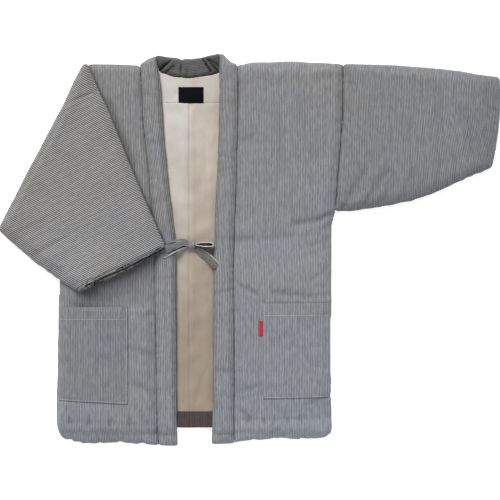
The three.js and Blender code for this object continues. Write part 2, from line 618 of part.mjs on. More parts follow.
// Collar, neck stretches: on the floor above the neckline, gathered
const neckFoot = offset(backHead, SEAM_GAP);
const neckHead = offset(collarHead, -8);
const neckRows = [
  neckFoot, offset(neckFoot, 2), offset(neckFoot, 6),
  ...rowsBetween(offset(neckFoot, 6), neckHead, 3),
  neckHead, offset(collarHead, -3), collarHead,
];
function neckPiece(name, left, right, count) {
  const rim = 7;
  const grid = patch({
    left, right, rows: neckRows, columns: byShares(evenly(count)),
    heights: (x, y, edges) => {
      const round = Math.min(roundEdge(edges.head, 10), roundEdge(edges.foot, 5));
      const flat = NECK_HIGH - creaseDepth(NECK_GATHERS, x, y);
      return { low: rim * (1 - round), high: rim + 0.8 + (flat - rim) * round };
    },
  });
  piece(name, layer(grid), STRIPED);
}
neckPiece('collar_neck_right', offset(collarEdgeRight, SEAM_GAP),
  level(COLLAR_CENTRE - SEAM_GAP / 2), 9);
neckPiece('collar_neck_left', level(COLLAR_CENTRE + SEAM_GAP / 2),
  offset(collarEdgeLeft, -SEAM_GAP), 12);

// Open sleeve: a flattened tube, its hollow a slit from the armhole to the cuff
function sectionAt(sections, at) {
  const k = clamp(Math.floor(at), 0, sections.length - 2);
  const mixed = {};
  for (const key of Object.keys(sections[k])) {
    mixed[key] = lerp(sections[k][key], sections[k + 1][key], at - k);
  }
  return mixed;
}

function sleevePoint(at, share) {
  const s = sectionAt(SLEEVE_SECTIONS, at);
  const y = lerp(s.ly, s.uy, share);
  const straight = lerp(s.lx, s.ux, share) + s.bulge * Math.sqrt(Math.sin(Math.PI * share));
  const armhole = leftSide(y) + SEAM_GAP;
  const followed = armhole + (s.lx - SLEEVE_SECTIONS[0].lx);
  return { x: lerp(straight, followed, s.bow), y, width: Math.hypot(s.ux - s.lx, s.uy - s.ly) };
}

const CUFF_END = SLEEVE_SECTIONS.length - 1;
const sectionPitch = CUFF_END / SLEEVE_LENGTH;
const CUFF_RUN = 13.6; // the last even station's distance from the cuff
const sleeveStations = [
  ...[0, 4, 9].map((step) => step * sectionPitch),
  ...evenly(18).map((k) => lerp(0.5, CUFF_END - CUFF_RUN * sectionPitch, k)),
  ...[6, 2, 0].map((step) => CUFF_END - step * sectionPitch),
];
const sleeveGrid = edgedShares(10, SLEEVE_WIDTH).map((share) => sleeveStations.map((at) => {
  const p = sleevePoint(at, share);
  const ends = [share * p.width, (1 - share) * p.width, (CUFF_END - at) / sectionPitch];
  const round = Math.min(...ends.map((d) => roundEdge(d, 11)));
  const groove = 0.78 + 0.22 * roundEdge(at / sectionPitch, 7);
  const crown = SLEEVE_CROWN * Math.sin(Math.PI * share) * smoothstep(at, 0, 1);
  const flat = SLEEVE_CREST + crown - creaseDepth(SLEEVE_CREASES, p.x, p.y);
  return {
    x: p.x, y: p.y, low: (SLEEVE_RIM - 0.6) * (1 - round),
    high: SLEEVE_RIM + 0.6 + (flat - SLEEVE_RIM) * round * groove,
  };
}));
const openMargin = SLEEVE_SLIT.margin / SLEEVE_WIDTH;
const sleeveSlit = [openMargin, 0.5, 1 - openMargin].map((share) => evenly(8).map((k) => {
  const p = sleevePoint(lerp(0, CUFF_END, k), share);
  const past = lerp(-SLEEVE_SLIT.past, SLEEVE_SLIT.past, k);
  return { x: p.x + past, y: p.y, low: SLEEVE_SLIT.low, high: SLEEVE_SLIT.high };
}));
piece('sleeve_left',
  geometryOf(solidOf(layer(sleeveGrid)).subtract(solidOf(layer(sleeveSlit)))), STRIPED);

// Folded sleeve and shoulder corner: one rounded solid over the front, down to the floor beside
// the body, less the room that the body takes
function foldPoint(at, share) {
  const s = sectionAt(FOLD_SECTIONS, at);
  return {
    ...s, x: lerp(s.ox, s.ix, share), y: lerp(s.oy, s.iy, share),
    width: Math.hypot(s.ix - s.ox, s.iy - s.oy),
  };
}

// The length along the inner edge between two rows of the section table
function foldPitch(row) {
  const a = foldPoint(row, 1);
  const b = foldPoint(row + 1, 1);
  return Math.hypot(a.x - b.x, a.y - b.y);
}
const CUFF_PITCH = foldPitch(0);
const SEAM_PITCH = foldPitch(ARMHOLE_SECTION - 1);
const TIP_PITCH = foldPitch(FOLD_SECTIONS.length - 2);
const TIP = FOLD_SECTIONS.length - 1;
const OVER_BODY = 30; // past this from the body's side, the fold lies on the front

function foldGrid(stations, hasCuff, hasTip) {
  return stations.map((at) => {
    const { width } = foldPoint(at, 0);
    return edgedShares(9, width).map((share) => {
      const p = foldPoint(at, share);
      const alongCuff = hasCuff ? at * CUFF_PITCH : Infinity;
      const alongSeam = Math.abs(at - ARMHOLE_SECTION) * SEAM_PITCH;
      const alongTip = hasTip ? (TIP - at) * TIP_PITCH : Infinity;
      const outerRadius = Math.min(18, p.width / 2);
      const round = Math.min(
        roundEdge(share * p.width, outerRadius), roundEdge((1 - share) * p.width, 11),
        roundEdge(alongCuff, 9), roundEdge(alongTip, 9));
      const rim = lerp(p.rim, INNER_RIM, share);
      const overBody = p.x > rightSide(p.y) + OVER_BODY;
      const low = overBody ? FOLD_LOW - 1 : p.low;
      const groove = 0.85 + 0.15 * roundEdge(alongSeam, 6);
      const flat = lerp(p.crest, INNER_CREST, share) - creaseDepth(FOLDED_CREASES, p.x, p.y);
      return {
        x: p.x, y: p.y, low: rim - 0.4 - (rim - 0.4 - low) * round,
        high: rim + 0.4 + (flat - rim) * round * groove,
      };
    });
  });
}

const bodyRoom = layer([ROOM.foot, ...RIGHT_SIDE.map((row) => row.y), ROOM.head].map((y) => [
  { x: rightSide(y) - ROOM.side, y, low: ROOM.low, high: FOLD_LOW },
  { x: ROOM.inner, y, low: ROOM.low, high: FOLD_LOW },
]));
const seamHalfGap = LAID_GAP / 2 / SEAM_PITCH;
const shoulderStations = [
  ARMHOLE_SECTION + seamHalfGap, ARMHOLE_SECTION + 0.15, ARMHOLE_SECTION + 0.5,
  ARMHOLE_SECTION + 1, ARMHOLE_SECTION + 1.5, TIP - 0.2, TIP - 0.06, TIP,
];
const foldedStations = [
  0, 0.03, 0.1, 0.2, 0.5, 0.8, 1, 1.33, 1.67, 2, 2.33, 2.67, 3, 3.5, 4, 4.5, 5, 5.5, 6, 6.33, 6.67, 7,
  7.33, 7.67, 8, 8.5, 9, 9.5, 9.85, ARMHOLE_SECTION - seamHalfGap,
];
const roomSolid = solidOf(bodyRoom);
const shoulderGrid = foldGrid(shoulderStations, false, true);
piece('shoulder_fold_right',
  geometryOf(solidOf(layer(shoulderGrid)).subtract(roomSolid)), STRIPED);

// The cuff is layered: the upper layer ends short of the lower, with a slit between them
const PAST_CUFF = 8;
const CUFF_TOP = 60;
function cuffCut(depth, margin, low, high) {
  return layer([-PAST_CUFF, depth].map((along) => evenly(4).map((k) => {
    const share = lerp(margin, 1 - margin, k);
    const p = foldPoint(along / CUFF_PITCH, share);
    return { x: p.x, y: p.y, low, high };
  })));
}
const slitMargin = CUFF_SLIT.margin / foldPoint(0, 0).width;
const sleeveRight = solidOf(layer(foldGrid(foldedStations, true, false)))
  .subtract(roomSolid)
  .subtract(solidOf(cuffCut(CUFF_SLIT.depth, slitMargin, CUFF_SLIT.low, CUFF_SLIT.high)))
  .subtract(solidOf(cuffCut(CUFF_LEDGE, -0.1, CUFF_SLIT.high - 0.2, CUFF_TOP)));
piece('sleeve_right', geometryOf(sleeveRight), STRIPED);

// Ties: a tape along a route, its section turned by heading and tilt
const TAPE_SECTION = [
  [-0.5, -0.25], [-0.44, -0.5], [0.44, -0.5], [0.5, -0.25],
  [0.5, 0.25], [0.44, 0.5], [-0.44, 0.5], [-0.5, 0.25],
];
function tape(route) {
  const curve = new THREE.CatmullRomCurve3(
    route.map((p) => new THREE.Vector3(p.x, p.y, p.z)), false, 'centripetal');
  const steps = (route.length - 1) * 2;
  const positions = [];
  for (let k = 0; k <= steps; k += 1) {
    const row = sectionAt(route, k / 2);
    const centre = curve.getPoint(k / steps);
    const along = curve.getTangent(k / steps);
    const heading = degToRad(row.heading);
    const tilt = degToRad(row.tilt);
    const wide = new THREE.Vector3(
      Math.cos(heading) * Math.cos(tilt), Math.sin(heading) * Math.cos(tilt), Math.sin(tilt));
    const normal = along.clone().cross(wide).normalize();
    wide.crossVectors(normal, along);
    for (const [across, up] of TAPE_SECTION) {
      const point = centre.clone()
        .addScaledVector(wide, across * row.width)
        .addScaledVector(normal, up * TIE_THICK);
      positions.push(point.x, point.y, point.z);
    }
  }
  const sides = TAPE_SECTION.length;
  const index = [];
  for (let k = 0; k < steps; k += 1) {
    for (let i = 0; i < sides; i += 1) {
      const a = k * sides + i;
      const b = k * sides + ((i + 1) % sides);
      index.push(a, b, b + sides, a, b + sides, a + sides);
    }
  }
  const last = steps * sides;
  for (let i = 1; i < sides - 1; i += 1) {
    index.push(0, i + 1, i, last, last + i, last + i + 1);
  }
  const geometry = new THREE.BufferGeometry();
  geometry.setAttribute('position', new THREE.Float32BufferAttribute(positions, 3));
  geometry.setIndex(index);
  return geometry;
}
for (const [name, route] of Object.entries(TIES)) piece(name, tape(route), STRIPED);
const knotShape = new THREE.SphereGeometry(1, 14, 8)
  .rotateX(Math.PI / 2)
  .scale(KNOT.wide, KNOT.wide, KNOT.high)
  .translate(KNOT.x, KNOT.y, KNOT.z);
piece('tie_knot', knotShape, STRIPED);

// The origin is the bottom centre of the box round the garment
const box = new THREE.Box3().setFromObject(garment);
const centre = box.getCenter(new THREE.Vector3());
garment.position.set(-centre.x, -centre.y, -box.min.z);

export default garment;
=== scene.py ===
import math
from collections import namedtuple

import bmesh
import bpy
import numpy as np
from mathutils import Matrix, Vector
from mathutils.bvhtree import BVHTree


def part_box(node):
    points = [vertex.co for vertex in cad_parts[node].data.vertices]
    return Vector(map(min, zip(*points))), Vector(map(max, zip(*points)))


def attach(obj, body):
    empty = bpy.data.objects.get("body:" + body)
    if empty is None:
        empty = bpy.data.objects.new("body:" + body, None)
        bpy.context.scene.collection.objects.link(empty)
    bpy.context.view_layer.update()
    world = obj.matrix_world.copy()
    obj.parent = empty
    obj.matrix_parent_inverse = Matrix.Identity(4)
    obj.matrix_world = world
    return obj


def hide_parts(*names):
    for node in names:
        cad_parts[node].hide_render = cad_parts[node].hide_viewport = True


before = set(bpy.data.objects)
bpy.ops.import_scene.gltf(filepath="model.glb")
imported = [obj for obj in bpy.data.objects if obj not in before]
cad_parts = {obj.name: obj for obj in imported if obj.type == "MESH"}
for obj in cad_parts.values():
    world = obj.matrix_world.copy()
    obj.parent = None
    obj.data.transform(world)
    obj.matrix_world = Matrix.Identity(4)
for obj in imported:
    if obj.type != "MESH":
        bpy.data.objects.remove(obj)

bl_info = {
    "name": "Padded hanten",
    "version": (1, 0, 0),
    "blender": (4, 5, 0),
    "location": "3D View > Sidebar > Hanten",
    "description": "Builds a padded striped hanten laid flat, from its cut and sewn pieces",
    "category": "Object",
}

# The drawing is in millimetres, seen from above. The tab tells how it lies in the frame.
MM = 0.001
TAB_DRAWN = (24.2, -172.5)
TAB_LOW, TAB_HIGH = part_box("pocket_tab")
SHIFT = np.array([
    (TAB_LOW.x + TAB_HIGH.x) / 2 / MM - TAB_DRAWN[0],
    (TAB_LOW.y + TAB_HIGH.y) / 2 / MM - TAB_DRAWN[1],
    0.0,
])

# Edges that the cloth follows, as places along them
COLLAR_SEAM_RIGHT = (
    (-200, -431), (-204, -330), (-205, -220), (-207, -110), (-208, -22), (-210, 22), (-217, 110),
    (-221, 177), (-229, 234), (-235, 298), (-237, 362), (-241, 404), (-236, 426),
)
COLLAR_EDGE_RIGHT = (
    (-160, -431), (-161, -330), (-162, -22), (-163, 11), (-169, 66), (-176, 121), (-183, 187),
    (-189, 249), (-193, 328), (-197, 363), (-201, 396), (-208, 426),
)
COLLAR_EDGE_LEFT = (
    (-84, -427), (-81, -330), (-81, -110), (-80, -22), (-78, 22), (-77, 66), (-75, 110),
    (-71, 177), (-68, 253), (-67, 326), (-66, 389), (-67, 431),
)
COLLAR_SEAM_LEFT = (
    (-34, -427), (-35, -396), (-36, -110), (-37, -22), (-35, 44), (-32, 110), (-30, 177),
    (-29, 225), (-27, 298), (-27, 371), (-29, 404), (-38, 431),
)
RIGHT_SIDE = (
    (-421, -402), (-424, -385), (-422, -220), (-420, -110), (-418, -70), (-413, -30),
)
LEFT_SIDE = (
    (178, -400), (177, -330), (176, -198), (179, -110), (178, 0), (180, 62), (186, 81),
)
ARMHOLE_LEFT = (
    (191, 96), (191, 129), (195, 182), (200, 234), (204, 304), (205, 407),
)
NECKLINE = (
    (-205, 393), (-187, 386), (-172, 381), (-150, 378), (-137, 376), (-110, 380), (-84, 384),
    (-66, 389),
)

# Creases: soft troughs along a line, in millimetres. A negative depth is a ridge.
Crease = namedtuple("Crease", "x0 y0 x1 y1 depth width")


def creases(*rows):
    return [Crease(*row) for row in rows]


FRONT_CREASES = creases(
    (182, 80, 148, 64, 4.4, 6), (150, 64, 96, 56, 3.4, 7), (168, 62, 110, 36, -2.2, 9),
    (30, 24, 101, 31, 2.0, 5), (-30, 20, 10, 26, 2.4, 6), (54, -94, 130, -102, 3.2, 6),
    (130, -102, 172, -97, 2.4, 5), (60, -80, 124, -84, -1.4, 8), (142, -62, 177, -33, 2.2, 5),
    (-24, -79, 12, -94, 3.2, 5), (12, -94, 30, -116, 2.6, 4.5), (-20, -95, 22, -108, -1.6, 5),
    (-22, 232, 6, 246, 2.0, 6), (150, 372, 196, 384, 1.4, 8), (60, 300, 74, 160, 1.0, 14),
    (112, 330, 126, 210, 1.0, 14), (-26, -312, 22, -296, 2.2, 5), (-20, -352, 4, -372, 2.4, 6),
    (175, -318, 123, -338, 2.6, 5), (172, -208, 130, -214, 2.0, 6), (176, -262, 142, -256, 1.8, 6),
    (176, -140, 150, -150, 2.0, 5), (178, 20, 120, 8, 1.6, 7), (-32, -373, 176, -368, 1.6, 4),
    (-420, -374, -210, -384, 1.4, 4), (-418, -112, -364, -122, 2.6, 5),
    (-408, -104, -330, -98, 1.8, 8), (-262, -112, -214, -106, 1.8, 8),
    (-265, -215, -207, -234, 2.4, 6), (-253, -293, -207, -318, 2.2, 6),
    (-240, -366, -214, -380, 2.0, 7), (-420, -180, -392, -186, 2.0, 5),
    (-420, -250, -388, -244, 2.0, 6), (-420, -322, -380, -330, 2.2, 5),
    (-240, -150, -212, -140, 1.6, 6),
)
COLLAR_CREASES = creases(
    (-80, 208, -34, 198, 1.6, 4), (-76, 168, -40, 178, 1.2, 5), (-80, 30, -38, 20, 1.4, 5),
    (-80, -98, -38, -88, 1.6, 4), (-82, -150, -46, -142, 1.0, 5), (-82, -262, -38, -270, 1.6, 5),
    (-82, -340, -40, -352, 1.2, 5), (-66, 330, -30, 318, 1.0, 6), (-196, 330, -234, 342, 1.4, 6),
    (-188, 240, -228, 228, 1.2, 6), (-176, 110, -214, 100, 1.4, 6), (-164, -60, -204, -70, 1.4, 6),
    (-162, -180, -202, -174, 1.0, 6), (-162, -300, -200, -312, 1.2, 6),
    (-170, 60, -200, 20, 1.4, 7),
)
SLEEVE_CREASES = creases(
    (206, 96, 256, 176, 2.2, 6), (222, 92, 262, 132, -1.4, 7), (248, 94, 300, 170, 1.8, 6),
    (282, 100, 322, 150, 1.4, 5), (330, 110, 352, 166, 1.4, 6), (372, 122, 388, 176, 1.2, 6),
    (408, 134, 418, 190, 1.2, 6), (446, 150, 452, 206, 1.0, 6), (214, 398, 222, 360, 1.4, 6),
    (486, 210, 470, 300, 1.0, 9), (420, 250, 410, 350, 0.8, 12), (524, 200, 512, 260, 1.2, 6),
    (524, 300, 516, 360, 1.0, 7),
)
FOLDED_CREASES = creases(
    (-516, 28, -440, 66, 1.8, 6), (-494, 4, -420, 42, 1.6, 6), (-470, -14, -400, 24, 1.4, 6),
    (-440, -38, -382, -6, 1.4, 6), (-414, -62, -360, -34, 1.6, 6), (-338, 330, -396, 236, 1.2, 10),
    (-300, 222, -396, 150, 1.2, 10), (-262, 150, -340, 96, 1.0, 10), (-226, 76, -300, 36, 1.2, 8),
    (-236, 104, -280, 110, 1.0, 7), (-430, 216, -380, 190, 1.0, 9), (-480, 130, -430, 108, 1.2, 8),
    (-384, 322, -338, 340, 1.8, 2.2), (-368, 318, -334, 330, 1.0, 2.6),
)
NECK_CREASES = creases(
    (-175, 414, -199, 393, 7.0, 2.6), (-168, 402, -188, 386, 5.0, 3.0),
    (-186, 408, -196, 398, 3.0, 4.0), (-166, 398, -172, 390, 3.0, 2.4),
    (-105, 420, -86, 391, 8.0, 2.4), (-98, 422, -72, 394, 6.5, 2.8),
    (-88, 416, -70, 404, 4.6, 3.0), (-151, 404, -152, 392, 4.0, 1.8),
    (-146, 414, -141, 390, 1.6, 4), (-138, 392, -137, 374, 3.0, 3.0),
    (-122, 412, -114, 388, 2.0, 5), (-160, 408, -162, 386, 1.6, 4), (-130, 424, -118, 404, 1.6, 4),
)

# Ties: points along each tape, from where it is sewn on to its free end, in millimetres.
# `heading` is the way the tape's width points in plan, `tilt` how far it stands up.
Tape = namedtuple("Tape", "x y z heading tilt width")


def tapes(*rows):
    return [Tape(*row) for row in rows]


TIE_RIGHT = tapes(
    (-184, 12.6, 27.5, 276, 0, 6), (-172, 17, 28, 276, 20, 5.5), (-160, 19.8, 26, 272, 30, 5.5),
    (-149, 20.6, 23.4, 264, 30, 5.5), (-140, 18, 20.5, 250, 20, 6), (-129, 11.4, 18.6, 268, 0, 6),
    (-125, 11.2, 22.4, 272, 0, 6), (-133, 11.5, 26.6, 272, 0, 6), (-141, 13.0, 29.4, 276, -8, 8),
    (-151, 12.8, 32.2, 284, -12, 10), (-162, 9.2, 34.0, 288, -14, 12),
    (-172, 5.2, 35.0, 292, -14, 14), (-180.6, 1.6, 34.4, 295, -12, 15),
    (-184, 0, 32.2, 296, -8, 14), (-180.6, 1.6, 30.2, 296, 0, 12), (-172, 5.2, 29.6, 292, 0, 10),
    (-160, 9.6, 27.6, 286, 0, 9), (-147, 12, 24.4, 280, 0, 6), (-136, 10.4, 22.6, 276, 0, 6),
    (-129, 9.2, 20, 280, 0, 6), (-133, 8.4, 17.4, 290, 0, 6), (-140, 7.8, 18.6, 296, 20, 6),
    (-150, 3.6, 22.5, 298, 55, 7), (-160, -1.4, 26.5, 300, 60, 7.5),
    (-172, -7.6, 28.4, 300, 55, 8), (-184, -12.6, 27.8, 296, 20, 10),
    (-196, -14.6, 28, 284, 0, 10),
)
TIE_LEFT = tapes(
    (-77, -3.6, 13.6, 96, 0, 13), (-94, -0.4, 13.6, 98, 0, 14), (-108, 3.0, 14, 96, 0, 12),
    (-119.6, 6, 14.6, 88, 0, 7), (-127, 10, 16.6, 84, 20, 6), (-128, 13, 19.6, 90, 60, 6),
    (-119.2, 12.8, 22, 90, 80, 9), (-106, 13.3, 23.6, 90, 75, 14), (-94, 13.5, 24.4, 90, 74, 15.5),
    (-84.5, 12.9, 24.6, 90, 76, 15.5), (-80.4, 10.4, 24.6, 90, 90, 15),
    (-84.5, 8.6, 24.6, 90, 104, 15.5), (-94, 8.3, 24.4, 90, 105, 15.5),
    (-106, 8.8, 23.6, 90, 104, 14), (-118.2, 10.2, 22, 90, 96, 8), (-126.4, 9.4, 20.4, 80, 40, 6),
    (-120, 3, 18.6, 50, 0, 7), (-112, -2.4, 18, 52, 0, 12), (-104, -8.5, 17.6, 50, 0, 16),
    (-95, -15.5, 18, 46, 0, 16.5), (-87, -22.5, 21.5, 45, 0, 16.5),
    (-79.5, -29.5, 26.6, 44, 0, 16.5), (-73.5, -36, 27.8, 44, 0, 15),
    (-71.4, -38.4, 27.8, 44, 0, 10),
)
KNOT = (-127.6, 10.2, 20.4)

# Pockets: corners in the drawing as side and inner edge, foot and mouth
Pocket = namedtuple("Pocket", "name node front side inner foot_side foot_inner mouth_side mouth_inner")
POCKETS = (
    Pocket("pocket_patch_right", "pocket_right", "wadded_front_right",
           -418, -267, -330, -338, -127, -125),
    Pocket("pocket_patch_left", "pocket_left", "wadded_front_left",
           175.5, 29, -323, -326, -117, -118),
)


# Sizes and colours that a user would change

def length(name, description, value, low=0.0):
    return bpy.props.FloatProperty(
        name=name, description=description, default=value, min=low, subtype="DISTANCE",
        unit="LENGTH")


class HantenSizes(bpy.types.PropertyGroup):
    stripe: length("Stripe pitch", "Width of one dark and one pale stripe", 0.00356, 0.001)
    voxel: length("Cloth step", "Size of the faces of the wadded pieces", 0.0042, 0.002)
    puff: bpy.props.FloatProperty(
        name="Wadding pressure", description="How hard the wadding pushes the cloth out",
        default=4.0, min=0.0)
    puff_cap: length("Swell limit", "How far the wadding may move the cloth", 0.005)
    pucker: length("Seam pucker", "Depth of the puckers beside a seam", 0.0011)
    wadding: length("Wadding lumps", "Height of the soft lumps of the wadding", 0.0009)
    stitch: length("Stitch length", "Length of one stitch of the pocket's sewing", 0.0032, 0.001)
    tape: length("Tie width", "Width of the tapes that tie the fronts", 0.015, 0.005)
    camera_height: length("Camera height", "Height of the camera over the floor", 2.605, 1.0)


def colour(name, description, value):
    return bpy.props.FloatVectorProperty(
        name=name, description=description, default=value, size=3, min=0.0, max=1.0,
        subtype="COLOR")


class HantenColours(bpy.types.PropertyGroup):
    dark: colour("Dark stripe", "Colour of the dark threads", (0.026, 0.034, 0.060))
    pale: colour("Pale stripe", "Colour of the pale threads", (0.475, 0.480, 0.470))
    lining: colour("Lining", "Colour of the back's lining", (0.715, 0.680, 0.635))
    # Painted shade: the lining darkens down to this colour at its lower end
    lining_shaded_low: colour("Low lining", "Colour of the lining's lower end", (0.365, 0.295, 0.235))
    facing: colour("Facing", "Colour of the back hem's facing", (0.046, 0.035, 0.031))
    label: colour("Label", "Colour of the neck label", (0.006, 0.006, 0.009))
    tab: colour("Tab", "Colour of the pocket's tab", (0.45, 0.03, 0.06))
    thread: colour("Thread", "Colour of the pocket's sewing", (0.66, 0.66, 0.66))
    floor: colour("Floor", "Colour of the floor", (0.96, 0.96, 0.96))


def sizes():
    return bpy.context.scene.hanten_sizes


def colours():
    return bpy.context.scene.hanten_colours


# Reading and writing meshes

def link(name):
    """A new piece with an empty mesh."""
    obj = bpy.data.objects.new(name, bpy.data.meshes.new(name))
    bpy.context.scene.collection.objects.link(obj)
    return obj


def points_of(obj, key="co"):
    values = np.zeros(len(obj.data.vertices) * 3)
    obj.data.vertices.foreach_get(key, values)
    return values.reshape(-1, 3)


def normals_of(obj):
    return points_of(obj, "normal")


def set_points(obj, points):
    obj.data.vertices.foreach_set("co", np.asarray(points, dtype=np.float32).ravel())
    obj.data.update()


def drawn(points):
    return points / MM - SHIFT


def placed(points):
    return (np.asarray(points, dtype=float) + SHIFT) * MM


def applied(obj):
    """Replaces the mesh by what its modifiers make of it."""
    depsgraph = bpy.context.evaluated_depsgraph_get()
    mesh = bpy.data.meshes.new_from_object(obj.evaluated_get(depsgraph))
    obj.modifiers.clear()
    old = obj.data
    obj.data = mesh
    bpy.data.meshes.remove(old)
    return obj


def with_bmesh(obj, work):
    bm = bmesh.new()
    bm.from_mesh(obj.data)
    work(bm)
    bm.to_mesh(obj.data)
    bm.free()
    obj.data.update()
    return obj


def smooth_shaded(obj):
    obj.data.polygons.foreach_set("use_smooth", [True] * len(obj.data.polygons))
    obj.data.update()


def finished(obj, material, slot, *nodes):
    obj.data.materials.clear()
    obj.data.materials.append(material)
    smooth_shaded(obj)
    if nodes:
        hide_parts(*nodes)
    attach(obj, "root")
    return obj


# Shaping cloth, in the drawing's millimetres

def smoothstep(value, low, high):
    share = np.clip((value - low) / (high - low), 0, 1)
    return share * share * (3 - 2 * share)


def x_on(line, y):
    xs, ys = np.array(line, dtype=float).T
    return np.interp(y, ys, xs)


def y_on(line, x):
    xs, ys = np.array(line, dtype=float).T
    return np.interp(x, xs, ys)


def bump(x, y, cx, cy, wide, high=None):
    """1 at one place, falling off softly over `wide` across and `high` up."""
    return np.exp(-((x - cx) / wide) ** 2 - ((y - cy) / (high or wide)) ** 2)


def crease_depth(table, x, y):
    depth = np.zeros(len(x))
    for c in table:
        dx, dy = c.x1 - c.x0, c.y1 - c.y0
        long = dx * dx + dy * dy
        t = ((x - c.x0) * dx + (y - c.y0) * dy) / long
        held = np.clip(t, 0, 1)
        away = np.hypot(x - c.x0 - held * dx, y - c.y0 - held * dy) / c.width
        fade = smoothstep(t, -0.35, 0.25) * (1 - smoothstep(t, 0.75, 1.35))
        depth += c.depth * np.exp(-away * away) * (0.4 + 0.6 * fade)
    return depth


def lumps(x, y, size, seed):
    """Soft irregular lumps of about one size, from -1 to 1."""
    total = np.zeros(len(x))
    for k in range(7):
        turn = seed * 1.7 + k * 2.399
        step = 2 * math.pi / (size * (0.75 + 0.11 * k))
        total += np.sin(step * (x * math.cos(turn) + y * math.sin(turn)) + seed * 3.1 + k * 1.3)
    return total / 3.2


def along_line(line, x, y):
    """Distance to a line of points, and how far along it the nearest place is."""
    best = np.full(len(x), 1e9)
    along = np.zeros(len(x))
    run = 0.0
    for (ax, ay), (bx, by) in zip(line[:-1], line[1:]):
        dx, dy = bx - ax, by - ay
        long = math.hypot(dx, dy)
        t = np.clip(((x - ax) * dx + (y - ay) * dy) / (long * long), 0, 1)
        away = np.hypot(x - ax - t * dx, y - ay - t * dy)
        nearer = away < best
        best = np.where(nearer, away, best)
        along = np.where(nearer, run + t * long, along)
        run += long
    return best, along


def close_to(line, x, y, reach):
    """1 on a line of points, falling off softly over `reach`."""
    return np.exp(-(along_line(line, x, y)[0] / reach) ** 2)


def beside(line, x, y, reach):
    """1 on a line of points, falling off at once and then slowly."""
    return np.exp(-along_line(line, x, y)[0] / reach)


def puckers(line, x, y, spacing, reach, seed):
    """Uneven puckers square to a seam, from -1 in a dip to 1 on a bulge."""
    away, along = along_line(line, x, y)
    slant = along + 0.35 * away * np.sin(along / (spacing * 2.3) + seed)
    turn = 2 * math.pi * slant / spacing + 1.8 * np.sin(2 * math.pi * along / (spacing * 3.7) + seed)
    strength = 0.55 + 0.45 * np.sin(2 * math.pi * along / (spacing * 6.1) + 2.1 * seed)
    return np.sin(turn) * strength * np.exp(-away / reach)


def puckered(rows, x, y):
    """The puckers beside several seams, in millimetres. Each row has a line, and the spacing,
    reach, seed and strength of the puckers beside it."""
    total = np.zeros(len(x))
    for line, spacing, reach, seed, strength in rows:
        total += strength * puckers(line, x, y, spacing, reach, seed)
    return total * sizes().pucker / MM


def cloth_copy(name, nodes, voxel):
    """A copy of one node, or of nodes sewn together, as an even mesh of small faces."""
    obj = link(name)

    def gather(bm):
        for node in nodes:
            bm.from_mesh(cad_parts[node].data)
        bmesh.ops.remove_doubles(bm, verts=bm.verts, dist=1e-5)

    with_bmesh(obj, gather)
    remesh = obj.modifiers.new("even", "REMESH")
    remesh.mode = "VOXEL"
    remesh.voxel_size = voxel
    remesh.adaptivity = 0
    applied(obj)
    for _ in range(2):
        with_bmesh(obj, lambda bm: bmesh.ops.smooth_vert(
            bm, verts=bm.verts, factor=0.5, use_axis_x=True, use_axis_y=True, use_axis_z=True))
    return obj


def refined(obj, lines, reach):
    """Halves the faces near lines of the drawing, so that a sharp crease finds its points."""
    def split(bm):
        places = drawn(np.array([tuple(e.verts[0].co) for e in bm.edges]))
        near = np.zeros(len(places), dtype=bool)
        for line in lines:
            near |= along_line(line, places[:, 0], places[:, 1])[0] < reach
        edges = [e for e, chosen in zip(bm.edges, near) if chosen]
        bmesh.ops.subdivide_edges(bm, edges=edges, cuts=1, use_grid_fill=True)
        bmesh.ops.triangulate(bm, faces=[f for f in bm.faces if len(f.verts) > 4])

    return with_bmesh(obj, split)


SWELL_FRAMES = 20


def swell(obj, cap):
    """Lets the wadding push the cloth out. The underside stays where it lies."""
    start, normals = points_of(obj), normals_of(obj)
    cloth = obj.modifiers.new("wadding", "CLOTH")
    for key, value in dict(
        quality=4, mass=0.3, tension_stiffness=12, compression_stiffness=12, shear_stiffness=4,
        bending_stiffness=0.3, use_pressure=True, uniform_pressure_force=sizes().puff,
    ).items():
        setattr(cloth.settings, key, value)
    cloth.settings.effector_weights.gravity = 0
    cloth.point_cache.frame_start = 1
    cloth.point_cache.frame_end = SWELL_FRAMES
    scene = bpy.context.scene
    for number in range(1, SWELL_FRAMES + 1):
        scene.frame_set(number)
    depsgraph = bpy.context.evaluated_depsgraph_get()
    travel = points_of(obj.evaluated_get(depsgraph)) - start
    obj.modifiers.clear()
    scene.frame_set(1)
    travel -= travel.mean(axis=0)
    far = np.linalg.norm(travel, axis=1, keepdims=True)
    travel *= np.minimum(1, cap / np.maximum(far, 1e-9))
    inward = np.minimum(0, (travel[:, :2] * normals[:, :2]).sum(axis=1))
    travel[:, :2] -= inward[:, None] * normals[:, :2]
    held = smoothstep(normals[:, 2:3], -0.3, 0.5)
    set_points(obj, start + travel * held)


FULL_SIDES = 1.2  # how far a piece's sides are filled out to meet its neighbours
LEAST_LIFT = -1.2


def shaped(obj, rise, ceiling=None):
    """Moves the upper side of a piece by `rise`, in millimetres at each place of the drawing,
    and its sides with it. Nothing goes below the surface or over `ceiling`."""
    points, normals = points_of(obj), normals_of(obj)
    x, y, _ = drawn(points).T
    up = smoothstep(normals[:, 2], 0.0, 0.4)
    side = (1 - up) * smoothstep(normals[:, 2], -0.6, -0.1)
    lift = rise(x, y)
    points[:, 2] += lift * MM * up
    flank = smoothstep(1 - np.abs(normals[:, 2]), 0.3, 0.9)
    spread = 0.6 * np.maximum(lift, LEAST_LIFT) * side + FULL_SIDES * flank
    points[:, :2] += normals[:, :2] * (spread * MM)[:, None]
    points[:, 2] = np.maximum(points[:, 2], 0)
    if ceiling is not None:
        points[:, 2] = np.minimum(points[:, 2], ceiling(x, y) * MM)
    set_points(obj, points)


